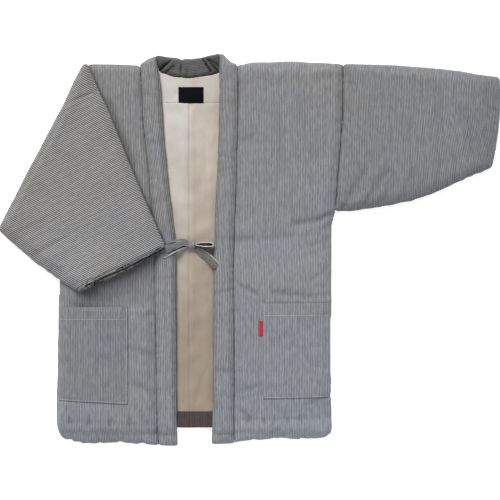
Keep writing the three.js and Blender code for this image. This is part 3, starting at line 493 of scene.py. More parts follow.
def keep(obj, name, kind, values):
    """Keeps one value or vector for each point, for the finishes to read."""
    layer = obj.data.attributes.new(name, kind, "POINT")
    key = "vector" if kind == "FLOAT_VECTOR" else "value"
    layer.data.foreach_set(key, np.asarray(values, dtype=np.float32).ravel())


def set_shade(obj, shade, rolled=0.0):
    """Keeps painted shade: how far the cloth is painted darker than its yarn, to 1, or painted
    lighter, below 0. `rolled` is painted shade added where the cloth rolls down at an edge."""
    x, y, _ = drawn(points_of(obj)).T
    steep = smoothstep(1 - np.abs(normals_of(obj)[:, 2]), 0.45, 0.9)
    keep(obj, "shade", "FLOAT", np.clip(shade(x, y) + rolled * steep, -0.3, 1))


def set_grain(obj, across, along, rim=None):
    """Keeps the cloth's own directions: metres across the stripes and along them. With `rim`,
    the height of a piece's edge, the stripes go on down its steep sides."""
    x, y, z = drawn(points_of(obj)).T
    reach = across(x, y)
    if rim:
        reach = reach + smoothstep(1 - np.abs(normals_of(obj)[:, 2]), 0.25, 0.7) * (z - rim)
    keep(obj, "grain", "FLOAT_VECTOR", np.stack([reach, along(x, y), z], axis=1) * MM)


RAY_START = 200.0
FRONT_EDGE_TOP = 12.0


def height_over(obj, x, y, missed=0.0):
    """The height of a piece's upper side at places of the drawing, in millimetres, or
    `missed` where it doesn't reach."""
    tree = BVHTree.FromPolygons(
        [tuple(p) for p in points_of(obj)], [tuple(f.vertices) for f in obj.data.polygons])
    heights = []
    for px, py in zip(x, y):
        hit = tree.ray_cast(Vector(placed((px, py, RAY_START))), Vector((0, 0, -1)))[0]
        heights.append(missed if hit is None else hit.z / MM)
    return np.array(heights)


# Finishes

class Nodes:
    """Short hand for wiring a material."""

    def __init__(self, name):
        self.material = bpy.data.materials.new(name)
        self.material.use_nodes = True
        self.tree = self.material.node_tree
        self.shader = self.tree.nodes["Principled BSDF"]

    def put(self, socket, value):
        if isinstance(value, bpy.types.NodeSocket):
            self.tree.links.new(value, socket)
        else:
            socket.default_value = value

    def add(self, kind, inputs=None, **settings):
        node = self.tree.nodes.new("ShaderNode" + kind)
        for key, value in settings.items():
            setattr(node, key, value)
        for key, value in (inputs or {}).items():
            self.put(node.inputs[key], value)
        return node

    def maths(self, operation, *values):
        return self.add("Math", dict(enumerate(values)), operation=operation).outputs[0]

    def mixed(self, share, first, second, blend="MIX"):
        inputs = {0: share, 6: first, 7: second}
        return self.add("Mix", inputs, data_type="RGBA", blend_type=blend).outputs[2]

    def ramp(self, value, low, high, to_low=0.0, to_high=1.0):
        return self.add("MapRange", {
            "Value": value, "From Min": low, "From Max": high, "To Min": to_low,
            "To Max": to_high}).outputs["Result"]

    def noise(self, place, scale, detail, stretch=None):
        if stretch:
            place = self.add("Mapping", {"Vector": place, "Scale": stretch}).outputs["Vector"]
        inputs = {"Vector": place, "Scale": scale, "Detail": detail}
        return self.add("TexNoise", inputs).outputs["Fac"]

    def woven(self, parts, threads, thread, strength):
        """A plain weave's relief, with `thread` as the distance between two threads."""
        waves = [self.maths("SINE", self.maths("MULTIPLY", parts.outputs[key], 2 * math.pi / thread))
                 for key in ("Y", "X")]
        weave = self.maths("MULTIPLY_ADD", self.maths("MULTIPLY", *waves), 0.5, threads)
        relief = self.add("Bump", {"Height": weave, "Strength": strength, "Distance": 0.0003})
        self.to_shader({"Normal": relief.outputs["Normal"]})

    def to_shader(self, values):
        for key, value in values.items():
            self.put(self.shader.inputs[key], value)


def rgba(value, factor=1.0):
    return (value[0] * factor, value[1] * factor, value[2] * factor, 1.0)


def toned(value, middle, contrast, tint):
    return [max(0.0, (m + (v - m) * contrast) * t) for v, m, t in zip(value, middle, tint)]


def striped_cotton(name, dark, pale, pitch, contrast=1.0, patchy=0.0, tint=(1.0, 1.0, 1.0),
                   hem=None, loose=1.0):
    """Yarn-dyed cotton: fine dark and pale stripes, uneven threads, a plain weave.
    `patchy` is how much the stripes come and go, `loose` how much they wander, `hem` where a
    tape's sewn edge begins on its grain's third coordinate."""
    middle = [(a + b) / 2 for a, b in zip(dark, pale)]
    n = Nodes(name)
    grain = n.add("Attribute", attribute_name="grain").outputs["Vector"]
    parts = n.add("SeparateXYZ", {"Vector": grain})
    strained = n.maths("MULTIPLY_ADD", n.noise(grain, 5.0, 1.0), 0.009 * loose, parts.outputs["X"])
    wander = n.maths("MULTIPLY_ADD", n.noise(grain, 24.0, 2.0), 0.0014 * loose, strained)
    turns = n.maths("MULTIPLY", wander, 1 / pitch)
    wave = n.maths("SINE", n.maths("MULTIPLY", turns, 2 * math.pi))
    stripe = n.ramp(wave, -0.35, 0.35)
    if patchy:
        share = n.ramp(n.noise(grain, 1.0, 2.0, (60, 16, 30)), 0.36, 0.62, 1 - patchy)
        stripe = n.maths("MULTIPLY_ADD", n.maths("SUBTRACT", stripe, 0.5), share, 0.5)
    threads = n.noise(grain, 1.0, 3.0, (1500, 60, 60))
    slubs = n.ramp(threads, 0.3, 0.7, 0.85, 1.15)
    lots = n.noise(grain, 1.0, 2.0, (260, 70, 80))
    uneven = n.ramp(lots, 0.3, 0.7, 1 - 0.16 * loose, 1 + 0.16 * loose)
    fourth = n.maths("MULTIPLY_ADD", n.maths("SINE", n.maths("MULTIPLY", turns, math.pi / 2)),
                     0.035, 1.0)
    # The "shade" attribute holds painted shade and painted light, which darken or lighten the yarn's
    # tone
    shade = n.add("Attribute", attribute_name="shade").outputs["Fac"]
    tone = n.maths("MULTIPLY", n.maths("MULTIPLY", slubs, uneven),
                   n.maths("MULTIPLY", fourth, n.maths("SUBTRACT", 1.0, shade)))
    yarn = n.mixed(stripe, rgba(toned(dark, middle, contrast, tint)),
                   rgba(toned(pale, middle, contrast, tint)))
    if hem:
        edge = n.ramp(n.maths("MULTIPLY", parts.outputs["Z"], -1.0), hem, hem + 0.001)
        yarn = n.mixed(edge, yarn, rgba(pale, 1.9))
    place = n.add("SeparateXYZ", {"Vector": n.add("TexCoord").outputs["Object"]})
    tinge = n.maths("MULTIPLY_ADD", place.outputs["Y"], 0.6, n.noise(grain, 9.0, 3.0))
    tinge = n.maths("MULTIPLY_ADD", n.maths("ADD", place.outputs["X"], 0.1), -0.5, tinge)
    cast = n.mixed(n.ramp(tinge, 0.18, 0.82), (0.95, 1.0, 1.08, 1), (1.03, 1.0, 0.955, 1))
    n.to_shader({
        "Base Color": n.mixed(1.0, n.mixed(1.0, yarn, tone, "MULTIPLY"), cast, "MULTIPLY"),
        "Roughness": 0.93, "Sheen Weight": 0.12, "Sheen Roughness": 0.6,
        "Specular IOR Level": 0.25})
    n.woven(parts, threads, 0.0009, 0.35)
    return n.material


def plain_cotton(name, base, low=None, rough=0.9, fade=0.08, sheen=0.1, shine=0.25):
    """Plain woven cotton: fine threads both ways and soft uneven tone. With `low`, painted shade: the
    colour darkens down to that, the yoke is a little darker, and below the yoke the left half is
    darker and warmer than the right."""
    n = Nodes(name)
    coords = n.add("TexCoord").outputs["Object"]
    parts = n.add("SeparateXYZ", {"Vector": coords})
    patches = n.noise(coords, 14.0, 4.0)
    threads = n.noise(coords, 1.0, 2.0, (900, 70, 70))
    tone = n.ramp(n.maths("MULTIPLY_ADD", threads, 0.4, patches), 0.4, 1.0, 1 - fade, 1 + fade)
    ground = rgba(base)
    if low:
        # Painted shade: the colour darkens down to `low` towards the bottom
        down = n.ramp(n.maths("MULTIPLY_ADD", patches, 0.12, parts.outputs["Y"]), -0.14, 0.42)
        # Painted shade: the yoke a little darker, and one half below it darker and warmer
        below = n.ramp(parts.outputs["Y"], 0.300, 0.345, 1.0, 0.6)
        side = n.maths("MULTIPLY", n.ramp(parts.outputs["X"], -0.148, -0.124), below)
        lit = n.mixed(below, rgba(base, 0.81), rgba(base))
        upper = n.mixed(side, lit, rgba(toned(base, base, 1.0, (0.87, 0.82, 0.75))))
        ground = n.mixed(down, rgba(low), upper)
    n.to_shader({
        "Base Color": n.mixed(1.0, ground, tone, "MULTIPLY"), "Roughness": rough,
        "Sheen Weight": sheen, "Specular IOR Level": shine})
    n.woven(parts, threads, 0.0007, 0.3)
    return n.material


def shared(name, make):
    """A finish that several pieces wear, made once."""
    return bpy.data.materials.get(name) or make(name)


def stripes(name, pitch=1.0, **kinds):
    c = colours()
    return shared(name, lambda name: striped_cotton(
        name, c.dark, c.pale, pitch * sizes().stripe, **kinds))


def body_cloth():
    return stripes("body_stripes", contrast=0.46, patchy=0.7, tint=(1.0, 0.99, 1.0))


def folded_cloth():
    return stripes("folded_stripes", contrast=1.08, tint=(1.04, 1.03, 1.02), loose=0.45)


def sleeve_cloth():
    return stripes("sleeve_stripes", contrast=0.44, patchy=0.7, tint=(0.91, 0.89, 0.87))


# Painted shade: a darker copy of the stripes for the neck stretches, which lean away from the light
def shaded_neck_cloth():
    return stripes("neck_stripes", contrast=0.5, tint=(0.44, 0.43, 0.43))


def tie_cloth(name, tint):
    return stripes(name, pitch=0.8, contrast=1.0, tint=tint, hem=0.0085)


def knot_cloth():
    return stripes("knot_stripes", pitch=0.8, contrast=0.5, tint=(0.98, 0.95, 1.02))


# Wadded pieces

def across_body(x, y):
    return x


def along_body(x, y):
    return y


FOLD_TURN = (0.891, 0.454)  # the way the stripes run on the folded sleeve


def across_fold(x, y):
    return y * FOLD_TURN[0] - x * FOLD_TURN[1]


def along_fold(x, y):
    return x * FOLD_TURN[0] + y * FOLD_TURN[1]


def across_sleeve(x, y):
    """The open sleeve's stripes lean a little, more towards the cuff and the lower edge."""
    lean = 0.035 + 0.10 * smoothstep(x, 330, 520) * (1 - smoothstep(y, 200, 330))
    return x + lean * (y - 300)


def across_collar(start, end, width):
    """Spreads the stripes of a band of one width evenly between its two edges."""
    return lambda x, y: (x - x_on(start, y)) * width / (x_on(end, y) - x_on(start, y))


def across_neck(x, y):
    return y - y_on(NECKLINE, x)


def wadded(name, nodes, rise, across=across_body, along=along_body, voxel=None,
           cap=None, ceiling=None, cut=None, cloth=body_cloth, sharp=(), pull=None,
           shade=None, rim=None):
    """One wadded piece: an even copy of its solid, swollen, creased and puckered."""
    nodes = (nodes,) if isinstance(nodes, str) else nodes
    obj = cloth_copy(name, nodes, voxel or sizes().voxel)
    if cap:
        swell(obj, cap)
    if pull:
        points = points_of(obj)
        x, y, _ = drawn(points).T
        points[:, :2] += np.stack(pull(x, y), axis=1) * MM
        set_points(obj, points)
    if sharp:
        refined(obj, sharp, 14)
    shaped(obj, rise, ceiling=ceiling)
    if cut:
        cut(obj)
    set_grain(obj, across, along, rim)
    if shade:
        # Painted shade on the steep sides where the cloth rolls down
        set_shade(obj, shade, rolled=0.3)
    finished(obj, cloth(), "striped_cotton", *nodes)
    return obj


FOOT = ((-421, -402), (-392, -421), (-365, -426), (-286, -424), (-202, -430), (-161, -431))
FOOT_LEFT = ((-84, -428), (-35, -426), (22, -419), (66, -415), (136, -414), (176, -402))
SHOULDER_LEFT = ((-29, 404), (0, 410), (44, 411), (88, 413), (132, 410), (205, 407))
FRONT_SEAMS = (
    (COLLAR_SEAM_LEFT, 23, 13, 0.4, 1.0), (COLLAR_SEAM_RIGHT, 25, 13, 1.9, 0.9),
    (LEFT_SIDE, 31, 15, 2.6, 1.4), (RIGHT_SIDE, 33, 15, 4.1, 1.4),
    (ARMHOLE_LEFT, 19, 12, 5.2, 0.9), (FOOT, 29, 16, 3.3, 1.5), (FOOT_LEFT, 27, 16, 0.9, 1.5),
    (SHOULDER_LEFT, 35, 12, 1.2, 0.7),
)
COLLAR_SEAMS = (
    (COLLAR_SEAM_LEFT, 21, 11, 0.9, 0.8), (COLLAR_SEAM_RIGHT, 21, 11, 2.2, 0.8),
    (COLLAR_EDGE_LEFT, 21, 11, 3.7, 0.8), (COLLAR_EDGE_RIGHT, 21, 11, 5.0, 0.8),
)
FOLD_UNDERSIDE = 23.1
NO_LIMIT = 60.0


def front_rise(x, y):
    lift = sizes().wadding / MM * lumps(x, y, 75, 1.0) - crease_depth(FRONT_CREASES, x, y)
    return lift + puckered(FRONT_SEAMS, x, y)


def under_fold(x, y):
    """Nothing of the right front stands higher than the folded sleeve's underside."""
    return np.where(y > -130, FOLD_UNDERSIDE, NO_LIMIT)


def collar_rise(x, y):
    lift = 0.6 * lumps(x, y, 45, 4.0) - crease_depth(COLLAR_CREASES, x, y)
    return lift + puckered(COLLAR_SEAMS, x, y)


def collar_shade(x, y):
    """Painted shade where the folded sleeve and the bow lie over the right collar's seam, along the
    collar's edges, in tucks at the seam's top, beside the folded sleeve's edge and in the creases.
    """
    seam = beside(COLLAR_SEAM_RIGHT, x, y, 11)
    under = smoothstep(y, -70, -20) * (1 - smoothstep(y, 6, 20))
    edges = 0.16 * (beside(COLLAR_EDGE_RIGHT, x, y, 4) + beside(COLLAR_EDGE_LEFT, x, y, 4))
    top = 0.5 * stitched(COLLAR_SEAM_RIGHT, x, y, 8.5, 2.5) * smoothstep(y, 300, 380)
    return 0.42 * seam * under + edges + top + beside_fold(x, y) + crease_shade(COLLAR_CREASES, x, y)


def neck_rise(x, y):
    lift = 0.5 * lumps(x, y, 26, 6.0) - crease_depth(NECK_CREASES, x, y)
    return lift + 0.7 * puckers(NECKLINE, x, y, 13, 8, 1.0)


def neck_shade(x, y):
    # Painted shade in the deeper creases, where the collar turns at its inner edge, along the neckline
    # and towards both sides
    shade = np.zeros(len(x))
    for c in NECK_CREASES:
        if c.depth > 2.5:
            line = ((c.x0, c.y0), (c.x1, c.y1))
            shade = np.maximum(shade, 0.11 * c.depth * close_to(line, x, y, 1.9))
    edge = 0.35 * beside(NECKLINE, x, y, 4)
    turned = 0.7 * close_to(((-209, 424), (-199, 392)), x, y, 2.2)
    sides = 0.3 * smoothstep(x, -98, -74) + 0.2 * (1 - smoothstep(x, -198, -176))
    return np.maximum(shade, turned) + edge + sides


CUFF = ((-374, -95), (-187, 11))
CUFF_TURN = (0.870, 0.493)  # the way the folded sleeve's cuff runs
FOLD_INNER = ((-187, 11), (-233, 117), (-271, 207), (-315, 315), (-356, 405))
FOLD_TROUGH = ((-310, 328), (-292, 284), (-275, 240), (-253, 188))  # where the front dips under it


def stitched(line, x, y, pitch, width):
    """Painted shade in small tucks along a seam, from 0 between them to 1."""
    away, along = along_line(line, x, y)
    tucks = smoothstep(np.sin(2 * math.pi * along / pitch + 0.9 * np.sin(along / 23)), -0.2, 0.7)
    return tucks * np.exp(-(away / width) ** 2)


def beside_fold(x, y):
    """Painted shade close beside the folded sleeve's inner edge and along the trough where the front
    dips under it.
    """
    near = 0.45 * close_to(FOLD_INNER, x, y, 4.5) + 0.09 * beside(FOLD_INNER, x, y, 16)
    return near + 0.30 * close_to(FOLD_TROUGH, x, y, 6.0)


def crease_shade(table, x, y):
    # Painted shade in the creases, and painted light on the ridges
    return np.clip(0.065 * crease_depth(table, x, y), -0.08, 0.3)


def front_shade(x, y):
    """Painted shadow of the folded sleeve on the front below its cuff, with painted shade beside the
    folded sleeve's edge, in the hem's tucks and in the creases.
    """
    below = (x - CUFF[1][0]) * CUFF_TURN[1] - (y - CUFF[1][1]) * CUFF_TURN[0]
    reach = smoothstep(x, -405, -350) * (1 - smoothstep(x, -230, -190))
    fold_shadow = 0.49 * (1 - smoothstep(below, 15, 85)) * (below > 0) * reach
    return fold_shadow + beside_fold(x, y) + gathered(x, y) + crease_shade(FRONT_CREASES, x, y)


def left_shade(x, y):
    """The armhole's seam lies in a thin groove of the front, painted as a thin line of shade; painted
    shade also in the creases and the hem's tucks, and painted light over the hem and the waist.
    """
    seam = 0.5 * close_to(ARMHOLE_LEFT, x, y, 2.2)
    pale = 0.15 * (1 - smoothstep(y, -380, -350)) + 0.08 * np.exp(-((y + 30) / 70) ** 2)
    return np.maximum(seam, crease_shade(FRONT_CREASES, x, y)) + gathered(x, y) - pale


SLEEVE_LOWER = ((191, 84), (264, 90), (352, 107), (440, 141), (528, 179))
SLEEVE_CUFF = ((528, 179), (548, 230), (552, 320), (546, 378))
SLEEVE_SEAMS = (
    (ARMHOLE_LEFT, 21, 14, 3.0, 1.0), (SLEEVE_LOWER, 30, 22, 1.5, 1.3),
    (SLEEVE_CUFF, 24, 12, 4.5, 0.8),
)


def sleeve_shade(x, y):
    # Painted shade where the lower edge rolls under, towards the cuff and in the creases
    rolled = 0.25 * beside(SLEEVE_LOWER, x, y, 8)
    return rolled + 0.10 * smoothstep(x, 440, 530) + crease_shade(SLEEVE_CREASES, x, y)


def sleeve_rise(x, y):
    lift = 0.9 * lumps(x, y, 85, 2.0) - 1.4 * crease_depth(SLEEVE_CREASES, x, y)
    return lift + puckered(SLEEVE_SEAMS, x, y)


CUFF_SLIT = (
    (-186, 3), (-212, -11), (-251, -31), (-271, -41), (-296, -51), (-338, -70), (-341, -84),
)
SLIT_TURN = (0.901, 0.433)  # the way the slit runs
CUFF_OUT = (  # along the cuff, and how far out there
    (0, -4), (32, 3), (70, 7.5), (110, 9.5), (190, 11), (216, 8),
)
CUFF_LUMPS = (  # centre, height and reach of the gathered cloth at the cuff
    (-359, -80, 5.0, 6), (-347, -73, 4.0, 5), (-368, -88, 3.5, 5), (-256, -39, 6.0, 5),
    (-267, -44, 5.0, 4), (-352, -88, 4.0, 4), (-300, -60, 2.0, 7),
)
# Painted shade in the lines between the cuff's lumps
CUFF_GATHERS = (  # dark lines between the lumps, and how dark
    (((-352, -68), (-354, -80), (-349, -92)), 0.7), (((-362, -74), (-366, -82)), 0.55),
    (((-341, -72), (-346, -80)), 0.6), (((-250, -31), (-254, -42), (-262, -50)), 0.6),
    (((-262, -36), (-272, -46)), 0.7), (((-284, -47), (-290, -57)), 0.35),
    (((-364, -90), (-372, -94)), 0.5),
)


def pull_cuff(x, y):
    """Draws the sleeve's end out past the straight line of its cuff."""
    x, y = x - CUFF[0][0], y - CUFF[0][1]
    along = x * CUFF_TURN[0] + y * CUFF_TURN[1]
    inside = y * CUFF_TURN[0] - x * CUFF_TURN[1]
    out = y_on(CUFF_OUT, along) * (1 - smoothstep(inside, 0, 90))
    return CUFF_TURN[1] * out, -CUFF_TURN[0] * out


def beyond_slit(x, y):
    return (x - CUFF_SLIT[0][0]) * SLIT_TURN[1] - (y - CUFF_SLIT[0][1]) * SLIT_TURN[0] > 0


def cuff_step(x, y):
    """The upper layer of the cuff ends in a dark slit, and the lower layer shows past it."""
    away, along = along_line(CUFF_SLIT[:-1], x, y)
    inside = smoothstep(x, -344, -338)
    step = np.where(beyond_slit(x, y), 5.0 * (1 - np.exp(-away / 1.2)), 0) * inside
    gap = 9.0 * close_to(CUFF_SLIT, x, y, 1.7)
    bulge = np.zeros(len(x))
    for cx, cy, height, reach in CUFF_LUMPS:
        bulge += height * bump(x, y, cx, cy, reach)
    return bulge - np.maximum(step, gap * (0.75 + 0.25 * np.sin(along / 17)))


FOLD_OUTER = ((-374, -95), (-429, -57), (-477, -22), (-517, 13), (-548, 41))
FOLDED_SEAMS = (
    (FOLD_OUTER, 27, 20, 2.0, 1.2), (FOLD_INNER, 37, 16, 0.3, 0.6), (CUFF, 19, 12, 1.1, 0.7),
)


def folded_shade(x, y):
    """Painted shade in the slit, between the gathers, on the cuff's lower layer, a little where the
    sleeve rolls under and in tucks along its inner edge, and painted light on the sleeve's lower part.
    """
    slit = 0.8 * close_to(CUFF_SLIT, x, y, 1.6)
    lower = 0.10 * beyond_slit(x, y) * (x > -340) - 0.10 * bump(x, y, -350, -20, 70, 60)
    rolled = 0.22 * beside(FOLD_OUTER, x, y, 7)
    rolled += 0.16 * beside(((-348, 405), (-548, 41)), x, y, 18)
    gather = np.zeros(len(x))
    for line, dark in CUFF_GATHERS:
        gather = np.maximum(gather, dark * close_to(line, x, y, 1.8))
    edge = 0.5 * stitched(FOLD_INNER, x - 4, y, 9.0, 3.6)
    return np.maximum(slit, gather) + lower + rolled + edge


def folded_rise(x, y):
    lift = 1.1 * lumps(x, y, 90, 5.0) - crease_depth(FOLDED_CREASES, x, y)
    return lift + puckered(FOLDED_SEAMS, x, y) + cuff_step(x, y)


HEM_NOTCHES = (  # place on the hem, depth and reach of each nick in its edge
    (-330, -426, 2.2, 5), (-286, -424, 2.6, 4), (-236, -428, 2.0, 5), (-392, -420, 2.0, 5),
    (52, -416, 3.0, 4), (66, -414, 2.2, 4), (8, -420, 1.6, 6), (112, -413, 2.2, 5),
)
# Painted shade in the tucks over the hem
HEM_GATHERS = (  # dark tucks over the hem
    ((-3, -362), (-4, -376)), ((53, -366), (52, -380)), ((110, -364), (111, -378)),
    ((30, -370), (31, -378)), ((82, -368), (82, -378)), ((-262, -368), (-263, -382)),
    ((-306, -370), (-306, -384)), ((-352, -366), (-353, -380)), ((-395, -366), (-396, -378)),
)


def pull_hem(x, y):
    """Nicks the hem's edge and draws its left corner out square."""
    up = -5.0 * bump(x, y, 158, -404, 22, 20)
    for cx, cy, deep, reach in HEM_NOTCHES:
        up += deep * bump(x, y, cx, cy, reach, 12)
    return 0 * x, up


def gathered(x, y):
    """Painted shade in the tucks over the hem."""
    shade = 0 * x
    for line in HEM_GATHERS:
        shade = np.maximum(shade, 0.34 * close_to(line, x, y, 3.4))
    return shade


class BuildBody(bpy.types.Operator):
    """Back and fronts, wadded"""
    bl_idname = "hanten.body"
    bl_label = "Back and fronts"

    def execute(self, context):
        cap = sizes().puff_cap
        wadded("wadded_back", "back", lambda x, y: 0.4 * lumps(x, y, 60, 8.0), voxel=0.0055)
        wadded("wadded_front_right", "front_right", front_rise, cap=cap, ceiling=under_fold,
               pull=pull_hem, shade=front_shade)
        wadded("wadded_front_left", "front_left", front_rise, cap=cap, pull=pull_hem,
               shade=left_shade)
        return {"FINISHED"}


def wedge_cut(obj, name, corners, low, high):
    """Opens a piece between its two layers by a flat wedge."""
    wedge = link(name)

    def build(bm):
        ring = [bm.verts.new(placed((x, y, low))) for x, y in corners]
        face = bm.faces.new(ring)
        made = bmesh.ops.extrude_face_region(bm, geom=[face])
        top = [v for v in made["geom"] if isinstance(v, bmesh.types.BMVert)]
        bmesh.ops.translate(bm, verts=top, vec=(0, 0, (high - low) * MM))
        bmesh.ops.recalc_face_normals(bm, faces=bm.faces)

    with_bmesh(wedge, build)
    boolean = obj.modifiers.new("opening", "BOOLEAN")
    boolean.operation = "DIFFERENCE"
    boolean.solver = "EXACT"
    boolean.object = wedge
    applied(obj)
    bpy.data.objects.remove(wedge)


CUFF_ROOM = ((520, 200), (580, 196), (590, 372), (530, 362))
CUFF_ROOM_HEIGHTS = (8.6, 12.4)


def open_cuff(obj):
    wedge_cut(obj, "cuff_room", CUFF_ROOM, *CUFF_ROOM_HEIGHTS)


def pull_armhole(x, y):
    """Draws the sleeve's lower corner up to the front's side."""
    return -3.0 * bump(x, y, 191, 98, 16), 0 * x


class BuildSleeves(bpy.types.Operator):
    """Open left sleeve, folded right sleeve and the corner of its shoulder"""
    bl_idname = "hanten.sleeves"
    bl_label = "Sleeves"

    def execute(self, context):
        cap = sizes().puff_cap
        wadded("wadded_sleeve_left", "sleeve_left", sleeve_rise, across=across_sleeve, cap=cap,
               cut=open_cuff, cloth=sleeve_cloth, pull=pull_armhole,
               shade=sleeve_shade)
        wadded("wadded_sleeve_right", ("sleeve_right", "shoulder_fold_right"), folded_rise,
               across=across_fold, along=along_fold, voxel=0.0032, cap=cap,
               cloth=folded_cloth, sharp=(CUFF_SLIT,),
               pull=pull_cuff, shade=folded_shade, rim=36)
        return {"FINISHED"}


class BuildCollar(bpy.types.Operator):
    """Collar band: two front stretches and two neck stretches, wadded"""
    bl_idname = "hanten.collar"
    bl_label = "Collar"

    def execute(self, context):
        cap = 0.6 * sizes().puff_cap
        for side, band in (
            ("right", (COLLAR_SEAM_RIGHT, COLLAR_EDGE_RIGHT, 40)),
            ("left", (COLLAR_EDGE_LEFT, COLLAR_SEAM_LEFT, 44)),
        ):
            wadded("wadded_collar_" + side, "collar_front_" + side, collar_rise,
                   across=across_collar(*band), voxel=0.003, cap=cap,
                   shade=collar_shade)
        for side in ("right", "left"):
            wadded("wadded_neck_" + side, "collar_neck_" + side, neck_rise, across=across_neck,
                   along=lambda x, y: x, voxel=0.0016, cloth=shaded_neck_cloth,
                   shade=neck_shade)
        return {"FINISHED"}


# Single cloth: lining, facing, pockets

def cloth_sheet(name, count, corner, height, thick):
    """A sheet of cloth on a grid of `count` faces across and up. `corner` turns shares across
    and up into a place of the drawing, `height` gives the sheet's underside there."""
    obj = link(name)
    with_bmesh(obj, lambda bm: bmesh.ops.create_grid(
        bm, x_segments=count[0], y_segments=count[1], size=0.5))
    points = points_of(obj)
    x, y = corner(points[:, 0] + 0.5, points[:, 1] + 0.5)
    set_points(obj, placed(np.stack([x, y, height(x, y)], axis=1)))
    wall = obj.modifiers.new("thickness", "SOLIDIFY")
    wall.thickness = thick * MM
    wall.offset = 1
    applied(obj)
    return obj


BACK_TOP = 10.35  # the back's upper side
YOKE_FOOT = 322.2
HALVES_HEAD = 322.0
HALVES_FOOT = -355.9
FACING_HEAD = -356.5
FACING_FOOT = -391.0
CENTRE_SEAM = -134
LINING_FOLDS = creases(
    (-134, 318, -134, -350, 0.4, 2.4), (-142, 300, -140, -340, -1.2, 6),
    (-198, 360, -176, 300, 1.6, 7), (-190, 372, -160, 318, -1.2, 6),
    (-186, 250, -158, 160, 1.0, 8), (-92, 240, -108, 120, 1.0, 8), (-160, -60, -110, -110, 1.0, 8),
    (-112, -180, -150, -240, 0.9, 9), (-100, -270, -122, -352, 1.1, 6),
    (-158, -300, -140, -354, 1.0, 6), (-126, 310, -127, -350, -1.0, 4),
    (-150, 60, -146, -340, 0.7, 5), (-112, 200, -108, -330, 0.6, 6), (-98, 318, -94, 60, 0.7, 5),
    (-160, 316, -156, 120, 0.6, 6), (-130, 332, -133, 300, 1.2, 4), (-108, 300, -96, 214, 0.5, 6),
    (-172, 330, -160, 300, 0.7, 5),
)


def lining_height(x, y):
    """Just over the back, with soft folds where nothing lies on the lining."""
    clear = np.minimum(x - x_on(COLLAR_EDGE_RIGHT, y), x_on(COLLAR_EDGE_LEFT, y) - x)
    free = smoothstep(clear, 2, 16)
    folds = -crease_depth(LINING_FOLDS, x, y) + 0.8 * lumps(x, y, 40, 9.0)
    seam = 1 - np.exp(-np.abs(y - YOKE_FOOT - 0.1) / 4) * smoothstep(x, -168, -142)
    folds -= 1.8 * bump(x, y, -129.5, 315, 5, 7)
    return BACK_TOP + np.maximum(0, 1.9 + folds) * free * (0.35 + 0.65 * seam)


def lining_piece(name, node, corner, material, slot, count):
    obj = cloth_sheet(name, count, corner, lining_height, 0.9)
    finished(obj, material, slot, node)
    return obj


def between(left, right, foot, head):
    """Turns shares across and up into places between two edges."""
    def corner(u, v):
        y = foot + (head - foot) * v
        return left(y) + (right(y) - left(y)) * u, y

    return corner


def under_right_collar(y):
    return x_on(COLLAR_SEAM_RIGHT, y) + 3


def under_left_collar(y):
    return x_on(COLLAR_SEAM_LEFT, y) - 3


def yoke_corner(u, v):
    left, right = under_right_collar(350), under_left_collar(350)
    x = left + (right - left) * u
    head = y_on(NECKLINE, x) - 1.4
    return x, YOKE_FOOT + (head - YOKE_FOOT) * v


class BuildLining(bpy.types.Operator):
    """Lining of the back where it shows: yoke, two halves and the facing of the hem"""
    bl_idname = "hanten.lining"
    bl_label = "Lining"

    def execute(self, context):
        c = colours()
        cream = plain_cotton("lining_cloth", c.lining, low=c.lining_shaded_low, fade=0.13)
        dark = striped_cotton("facing_stripes", c.facing, [2.2 * v for v in c.facing],
                              sizes().stripe)
        lining_piece("lining_cloth_yoke", "lining_yoke", yoke_corner, cream, "lining_cotton",
                     (100, 36))
        lining_piece("lining_cloth_right", "lining_right",
                     between(under_right_collar, lambda y: 0 * y + CENTRE_SEAM + 0.1,
                             HALVES_FOOT, HALVES_HEAD),
                     cream, "lining_cotton", (50, 260))
        lining_piece("lining_cloth_left", "lining_left",
                     between(lambda y: 0 * y + CENTRE_SEAM - 0.1, under_left_collar,
                             HALVES_FOOT, HALVES_HEAD),
                     cream, "lining_cotton", (50, 260))
        facing = lining_piece("facing_cloth", "hem_facing",
                              between(under_right_collar, under_left_collar, FACING_FOOT,
                                      FACING_HEAD),
                              dark, "facing_cotton", (90, 20))
        set_grain(facing, across_body, along_body)
        return {"FINISHED"}


def pocket_place(p, u, v):
    """A place on a pocket: u from the side to the inner edge, v from the foot to the mouth."""
    foot = p.foot_side + (p.foot_inner - p.foot_side) * u
    mouth = p.mouth_side + (p.mouth_inner - p.mouth_side) * u
    return p.side + (p.inner - p.side) * u, foot + (mouth - foot) * v


def pocket_lift(u, v):
    """How far a pocket stands off the front: sewn down round three sides, slack at the mouth."""
    sewn = np.minimum(np.minimum(u, 1 - u) * 14, v * 18)
    hem = 0.5 * smoothstep(v, 0.868, 0.882)
    slack = smoothstep(v, 0.75, 1.0) * smoothstep(np.minimum(u, 1 - u), 0, 0.3)
    return 0.6 + 1.3 * smoothstep(sewn, 0, 1) + hem + 0.9 * slack


def stitch_row(bm, ends, surface, across):
    """Stitches end to end between two places, lying on a surface."""
    (x0, y0), (x1, y1) = ends
    long = math.hypot(x1 - x0, y1 - y0)
    step = sizes().stitch / MM
    count = max(2, int(long / step))
    shares = (np.arange(count) + 0.5) / count
    xs, ys = x0 + (x1 - x0) * shares, y0 + (y1 - y0) * shares
    turn = Matrix.Rotation(math.atan2(y1 - y0, x1 - x0), 4, "Z")
    for x, y, z in zip(xs, ys, height_over(surface, xs, ys)):
        shape = Matrix.Diagonal((0.46 * step * MM, across * MM, 0.35 * MM, 1))
        place = Matrix.Translation(Vector(placed((x, y, z + 0.12))))
        bmesh.ops.create_icosphere(bm, subdivisions=1, radius=1, matrix=place @ turn @ shape)


